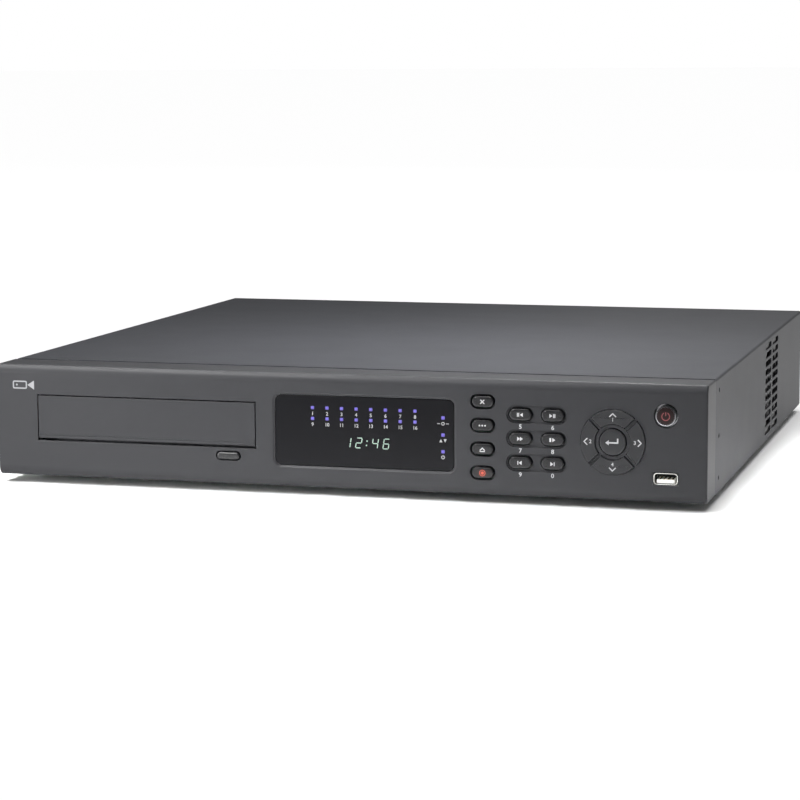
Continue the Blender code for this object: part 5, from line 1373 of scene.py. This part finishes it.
def coax_socket():
    """A bayonet video socket's barrel: a wider foot, a thinner neck with two lugs, about the origin."""
    root = SOCKET_FACE + 0.2 * MM
    barrel = drum_between("video_barrel", 0, 0, BARREL_RADIUS, root, TIP, 40)
    round_edges(barrel, behind(TIP), 0.4 * MM, 2)
    step = drum_between("step", 0, 0, 5.6 * MM, PANEL + 1.8 * MM, TIP + MM, 40)
    waist = drum_between("waist", 0, 0, 4.4 * MM, PANEL + MM, TIP + 2 * MM, 40)
    carve(step, [waist])
    carve(barrel, [step])
    carve(barrel, [drum_between("bore", 0, 0, 3.7 * MM, PANEL + 2.5 * MM, TIP + MM, 32)])
    lugs = drum("lugs", (0, TIP - 3.2 * MM, 0), 0.85 * MM, 9.4 * MM, "Z", 16)
    inside = drum_between("inside", 0, 0, 4.0 * MM, PANEL, TIP, 24)
    carve(lugs, [inside])
    weld_to(barrel, [lugs])
    return barrel


def coax_core():
    core = drum_between("video_core", 0, 0, 2.4 * MM, PANEL + 2.3 * MM, TIP - 2.2 * MM, 24)
    round_edges(core, behind(TIP - 2.3 * MM), 0.3 * MM, 2)
    return carve(core, [drum_between("bore", 0, 0, 1.0 * MM, TIP - 5 * MM, TIP, 16)])


def coax_ring():
    ring = drum_between("washer", 0, 0, 6.3 * MM, PANEL + 0.05 * MM, PANEL + 0.75 * MM, 6)
    carve(ring, [drum_between("bore", 0, 0, 4.6 * MM, PANEL - MM, PANEL + 2 * MM, 32)])
    return ring


def spread_copies(pattern, places, name):
    """Copies one shape, modelled about the origin, to every place."""
    made = [copied(pattern, name, (x, 0, z)) for x, z in places]
    bpy.data.objects.remove(pattern)
    return joined(name, made)


def make_video_inputs():
    barrels = spread_copies(coax_socket(), VIDEO_PLACES, "video_barrels")
    place(barrels, CASE, "bright_steel", "nickel")
    cores = spread_copies(coax_core(), VIDEO_PLACES, "video_insulators")
    place(cores, CASE, "white_plastic")
    rings = spread_copies(coax_ring(), VIDEO_PLACES, "video_nuts")
    soften(rings, 0.12 * MM, 1)
    place(rings, CASE, "bright_steel", "nickel")
    housing = box("video_housing", video_low, (video_high.x, SOCKET_FACE, video_high.z))
    grooves = []
    for column in range(1, 8):
        x = video_low.x + column * VIDEO_PITCH
        low = (x - 0.3 * MM, video_low.y - MM, video_low.z - MM)
        high = (x + 0.3 * MM, SOCKET_FACE + MM, video_low.z + 0.6 * MM)
        grooves.append(box("groove", low, high))
    carve(housing, grooves)
    soften(housing, 0.3 * MM, 2)
    place(housing, CASE, "black_plastic", "black", ("video_inputs",))


def make_audio_sockets():
    root = SOCKET_FACE + 0.2 * MM
    sleeve = drum_between("audio_sleeve", 0, 0, SLEEVE_RADIUS, root, TIP, 36)
    carve(sleeve, [drum_between("bore", 0, 0, 3.5 * MM, PANEL + 1.5 * MM, TIP + MM, 32)])
    round_edges(sleeve, behind(TIP), 0.2 * MM, 2)
    sleeves = spread_copies(sleeve, AUDIO_PLACES, "audio_sleeves")
    place(sleeves, CASE, "bright_steel", "nickel")
    for row, paint in enumerate(("red", "white")):
        core = drum_between("core", 0, 0, 3.4 * MM, PANEL + 1.3 * MM, TIP - 0.8 * MM, 32)
        carve(core, [drum_between("bore", 0, 0, 1.6 * MM, PANEL + 3 * MM, TIP, 20)])
        collar = drum_between("collar", 0, 0, 5.4 * MM, PANEL + 0.05 * MM, PANEL + 1.4 * MM, 36)
        carve(collar, [drum_between("bore", 0, 0, 4.25 * MM, PANEL - MM, PANEL + 3 * MM, 36)])
        soften(collar, 0.2 * MM, 2)
        places = AUDIO_PLACES[3 * row : 3 * row + 3]
        cores = spread_copies(core, places, f"audio_cores_{row + 1}")
        place(cores, CASE, "white_plastic", paint)
        collars = spread_copies(collar, places, f"audio_collars_{row + 1}")
        place(collars, CASE, "white_plastic", paint)
    housing = box("audio_housing", audio_low, (audio_high.x, SOCKET_FACE, audio_high.z))
    soften(housing, 0.3 * MM, 2)
    place(housing, CASE, "black_plastic", "black", ("audio_sockets",))


def make_monitor_port():
    """The blue-faced monitor socket with its fifteen holes, shell and two hex posts."""
    low, high = corners("monitor_port")
    shell, x, z = monitor_shape("monitor_shell", 16.9 * MM, 8.3 * MM, SOCKET_FACE - MM, high.y)
    bore, _, _ = monitor_shape("monitor_bore", 15.9 * MM, 7.3 * MM, PANEL - MM, high.y + MM)
    carve(shell, [bore])
    body = box("monitor_socket", low, (high.x, SOCKET_FACE, high.z))
    soften(body, 0.3 * MM, 2)
    weld_to(body, [shell])
    place(body, CASE, "bright_steel", "nickel", ("monitor_port",))
    core, _, _ = monitor_shape("monitor_face", 15.8 * MM, 7.2 * MM, PANEL - 0.8 * MM, high.y - 1.0 * MM)
    holes = []
    for row in range(3):
        for column in range(5):
            at_x = x + (column - 2 + 0.25 * (row - 1)) * 2.3 * MM
            at = (at_x, high.y - MM, z + (row - 1) * 2.0 * MM)
            holes.append(drum("hole", at, 0.5 * MM, 2 * MM, "Y", 12))
    carve(core, holes)
    place(core, CASE, "black_plastic", "blue")
    posts = []
    for side in (-1, 1):
        at = x + side * 12.5 * MM
        post = drum_between("post", at, z, 2.6 * MM, PANEL + 0.05 * MM, PANEL + 4.5 * MM, 6)
        carve(post, [drum_between("bore", at, z, 1.3 * MM, PANEL + MM, PANEL + 6 * MM, 20)])
        posts.append(post)
    hexes = joined("monitor_posts", posts)
    soften(hexes, 0.12 * MM, 1)
    place(hexes, CASE, "bright_steel", "nickel")


def make_small_port(name, wall, tongue_height, corner):
    """A metal shell with a tongue inside."""
    low, high = corners(name)
    middle = (low + high) / 2
    shell = box(name + "_shell", low, high)
    round_edges(shell, along_y, corner, 3)
    bore_low = (low.x + wall, PANEL - 9 * MM, low.z + wall)
    bore = box("bore", bore_low, (high.x - wall, high.y + MM, high.z - wall))
    round_edges(bore, along_y, max(corner - wall, 0.1 * MM), 3)
    carve(shell, [bore])
    soften(shell, 0.08 * MM, 1)
    place(shell, CASE, "bright_steel", "steel", (name,))
    width = (high.x - low.x) * 0.7
    depths = (PANEL - 9.5 * MM, PANEL - 0.6 * MM)
    tongue = slab(name + "_tongue", middle.x, middle.z, width, tongue_height, *depths)
    soften(tongue, 0.15 * MM, 2)
    place(tongue, CASE, "black_plastic")


def make_network_port():
    """A network socket with a latch notch, eight contacts and a dark lining."""
    low, high = corners("network_port")
    x, z = middle_of(low, high)
    shell = box("network_shell", low, high)
    soften(shell, 0.3 * MM, 2)
    depths = (PANEL - 12 * MM, high.y + MM)
    carve(shell, [slab("mouth", x, z, 11.8 * MM, 8.2 * MM, *depths)])
    carve(shell, [slab("notch", x, z - 4.75 * MM, 6.0 * MM, 1.7 * MM, *depths)])
    soften(shell, 0.08 * MM, 1)
    place(shell, CASE, "bright_steel", "steel", ("network_port",))
    depths = (PANEL - 11.5 * MM, PANEL - 0.4 * MM)
    lining = slab("network_lining", x, z, 11.4 * MM, 7.8 * MM, *depths)
    carve(lining, [slab("hollow", x, z, 10.4 * MM, 6.8 * MM, PANEL - 10.5 * MM, PANEL + MM)])
    place(lining, CASE, "black_plastic")
    places = [x + (index - 3.5) * 1.02 * MM for index in range(8)]
    depths = (PANEL - 9 * MM, PANEL - 1.5 * MM)
    strips = [slab("contact", at, z + 2.5 * MM, 0.4 * MM, 0.4 * MM, *depths) for at in places]
    pins = joined("network_contacts", strips)
    soften(pins, 0.05 * MM, 1)
    place(pins, CASE, "bright_steel", "gold")


def make_terminals():
    """Green screw terminals: a wire mouth below and a slotted screw above for each wire."""
    low, high = corners("alarm_terminals")
    pitch = (high.x - low.x) / 10
    back = high.y + MM
    strip = box("terminal_strip", low, high)
    step_low = (low.x - MM, high.y - 2.2 * MM, high.z - 3.4 * MM)
    carve(strip, [box("step", step_low, (high.x + MM, back, high.z + MM))])
    mouths, screw_holes, grooves, heads = [], [], [], []
    screw_z = high.z - 1.9 * MM
    for index in range(10):
        x = low.x + (index + 0.5) * pitch
        mouth_low = (x - 1.5 * MM, high.y - 5 * MM, low.z + MM)
        mouths.append(box("mouth", mouth_low, (x + 1.5 * MM, back, low.z + 4 * MM)))
        seat = (x, high.y - 2.2 * MM, screw_z)
        screw_holes.append(drum("screw_hole", seat, 1.5 * MM, 2 * MM, "Y", 20))
        head = drum("screw", (x, high.y - 2.9 * MM, screw_z), 1.3 * MM, 0.8 * MM, "Y", 20)
        slot = (3 * MM, 0.6 * MM, 0.35 * MM)
        carve(head, [bar("slot", (x, high.y - 2.5 * MM, screw_z), slot, 0.5 + index)])
        heads.append(head)
        if index:
            x = low.x + index * pitch
            groove_low = (x - 0.15 * MM, high.y - 3.0 * MM, low.z - MM)
            grooves.append(box("groove", groove_low, (x + 0.15 * MM, back, high.z + MM)))
    for tools in (mouths, screw_holes, grooves):
        carve(strip, tools)
    place(strip, CASE, "green_plastic", "green", ("alarm_terminals",))
    place(joined("terminal_screws", heads), CASE, "bright_steel")


def rear_flange(name, low, high, corner, segments):
    """A soft-edged flange that stands on the rear panel."""
    flange = box(name, (low.x, PANEL + 0.3 * MM, low.z), high)
    round_edges(flange, along_y, corner, segments)
    return round_edges(flange, behind(high.y), 0.4 * MM, 2)


def make_inlet():
    """The three-pin mains inlet: flange, shaped mouth and blades."""
    low, high = corners("mains_inlet")
    x, z = middle_of(low, high)
    body = slab("inlet_body", x, z, *INLET_SIZE, low.y, high.y - 0.8 * MM)
    flange = rear_flange("inlet_flange", low, high, 2.0 * MM, 5)
    weld_to(flange, [body])
    mouth = slab("mouth", x, z, 24 * MM, 16 * MM, low.y + 2 * MM, high.y + MM)
    round_edges(mouth, lambda a, b: along_y(a, b) and a.z > z, 4.5 * MM, 1)
    round_edges(mouth, lambda a, b: along_y(a, b) and a.z < z, 1.0 * MM, 3)
    carve(flange, [mouth])
    flange.name = "mains_inlet_moulding"
    place(flange, CASE, "black_plastic", "black", ("mains_inlet",))
    blades = []
    back = high.y - 2 * MM
    for dx, dz in ((-7 * MM, -2 * MM), (7 * MM, -2 * MM), (0, 2 * MM)):
        blade = slab("blade", x + dx, z + dz, 2 * MM, 4 * MM, low.y + MM, back)
        blades.append(round_edges(blade, behind(back - 0.01 * MM), 0.5 * MM, 2))
    place(joined("inlet_blades", blades), CASE, "bright_steel", "nickel")


def make_rocker():
    """The frame round the power rocker."""
    low, high = corners("rocker_frame")
    x, z = middle_of(low, high)
    surround = rear_flange("rocker_flange", low, high, 1.0 * MM, 3)
    body = slab("rocker_body", x, z, *ROCKER_SIZE, low.y, high.y - 0.8 * MM)
    weld_to(surround, [body])
    carve(surround, [slab("well", x, z, 11.6 * MM, 18.4 * MM, low.y + 1.5 * MM, high.y + MM)])
    surround.name = "rocker_surround"
    place(surround, CASE, "black_plastic", "black", ("rocker_frame",))


def make_rear_numbers():
    """Channel figures under the sockets."""
    terminals = centre_of("alarm_terminals")
    wires = [(terminals.x + (index - 4.5) * 5 * MM, terminals.z) for index in range(10)]
    figures = (
        (VIDEO_PLACES, 6.6 * MM, -6.4 * MM, 1.6 * MM),
        (AUDIO_PLACES, 5.6 * MM, -6.4 * MM, 1.6 * MM),
        (wires, 0, 5.6 * MM, 1.4 * MM),
    )
    y = PANEL + 0.02 * MM
    made = []
    for places, dx, dz, height in figures:
        for index, (x, z) in enumerate(places):
            made.append(text("figure", str(index + 1), x + dx, z + dz, height, y, facing=-1))
    place_marks("rear_numbers", made, CASE, "case_paint", "pale_ink")


make_bezel()
make_door()
make_window()
make_pill_keys()
make_play_numbers()
make_pad()
make_enter_key()
make_power_button()
make_display()
make_camera_sign()
make_front_usb()
make_cover()
make_screws()
make_feet()
make_tray()
make_panel()
make_video_inputs()
make_audio_sockets()
make_monitor_port()
make_small_port("picture_port", 0.6 * MM, 1.5 * MM, 1.2 * MM)
make_small_port("rear_usb_port", 0.4 * MM, 1.8 * MM, 0.8 * MM)
make_network_port()
make_terminals()
make_inlet()
make_rocker()
make_rear_numbers()
paint_carried_nodes()


# --- Camera, light and floor --------------------------------------------------------------------
CAMERA_PLACE = Vector((0.4389, -1.62995, 0.2602))
CAMERA_YAW = math.radians(15.89)
CAMERA_PITCH = math.radians(7.80)
CAMERA_ROLL = math.radians(-0.278)
CAMERA_LENS = 113.13
FILL = 0.12


def camera_turn():
    flat = math.cos(CAMERA_PITCH)
    ahead = (-math.sin(CAMERA_YAW) * flat, math.cos(CAMERA_YAW) * flat, -math.sin(CAMERA_PITCH))
    forward = Vector(ahead)
    level = Vector((math.cos(CAMERA_YAW), math.sin(CAMERA_YAW), 0))
    upright = level.cross(forward)
    right = math.cos(CAMERA_ROLL) * level + math.sin(CAMERA_ROLL) * upright
    up = -math.sin(CAMERA_ROLL) * level + math.cos(CAMERA_ROLL) * upright
    return Matrix((right, up, -forward)).transposed()


def add_camera():
    select_none()
    bpy.ops.object.camera_add(location=CAMERA_PLACE, rotation=camera_turn().to_euler())
    camera = bpy.context.object
    camera.data.lens = CAMERA_LENS
    camera.data.sensor_width = 36.0
    camera.data.clip_start = 0.01
    camera.data.clip_end = 50.0
    bpy.context.scene.camera = camera


def soft_box(name, place_at, look_at, size, power, spread=180):
    turn = (Vector(look_at) - Vector(place_at)).to_track_quat("-Z", "Y").to_euler()
    select_none()
    bpy.ops.object.light_add(type="AREA", location=place_at, rotation=turn)
    light = bpy.context.object
    light.name = name
    light.data.shape = "RECTANGLE"
    light.data.size = size[0]
    light.data.size_y = size[1]
    light.data.energy = power
    light.data.spread = math.radians(spread)
    return light


def add_floor():
    select_none()
    bpy.ops.mesh.primitive_plane_add(size=60.0, location=(0, 25.0, -0.0002))
    floor = settle(added("studio_floor"))
    made, tree, shader = new_material("pale_floor")
    pale = {"Base Color": (0.95, 0.95, 0.95, 1.0), "Roughness": 0.9, "Specular IOR Level": 0.1}
    feed(tree, shader, pale)
    floor.data.materials.append(made)


def add_world():
    """White where the camera looks past the floor, and a dimmer even fill for the object."""
    world = bpy.data.worlds.new("studio")
    world.use_nodes = True
    tree = world.node_tree
    background = tree.nodes["Background"]
    seen = node(tree, "ShaderNodeLightPath").outputs["Is Camera Ray"]
    strength = node(tree, "ShaderNodeMapRange", {"Value": seen, "To Min": FILL, "To Max": 1.0})
    background.inputs["Color"].default_value = (1.0, 1.0, 1.0, 1.0)
    tree.links.new(strength.outputs["Result"], background.inputs["Strength"])
    bpy.context.scene.world = world
    bpy.context.scene.view_settings.view_transform = "Standard"


def add_light():
    add_world()
    select_none()
    bpy.ops.object.light_add(type="SUN", location=(0, 0, 3), rotation=(0.0, 0.0, 0.0))
    sun = bpy.context.object
    sun.name = "overhead_light"
    sun.data.energy = 3.0
    sun.data.angle = math.radians(60)
    soft_box("front_left_box", (-0.56, -0.66, 0.12), (-0.10, -0.22, 0.04), (0.3, 0.2), 0.32, 50)
    soft_box("high_left_box", (-0.50, -0.80, 0.80), (-0.12, -0.22, 0.07), (0.45, 0.25), 1.25, 50)
    soft_box("side_box", (1.0, -0.55, 0.14), (0.22, -0.1, 0.03), (0.35, 0.25), 0.15)
    soft_box("top_box", (0.10, -0.10, 0.62), (0.06, -0.12, 0.07), (0.3, 0.15), 1.25, 60)
    soft_box("rear_right_panel", (0.45, 3.4, 1.5), (0.1, -0.1, 0.07), (2.4, 1.2), 6.8)


add_camera()
add_light()
add_floor()
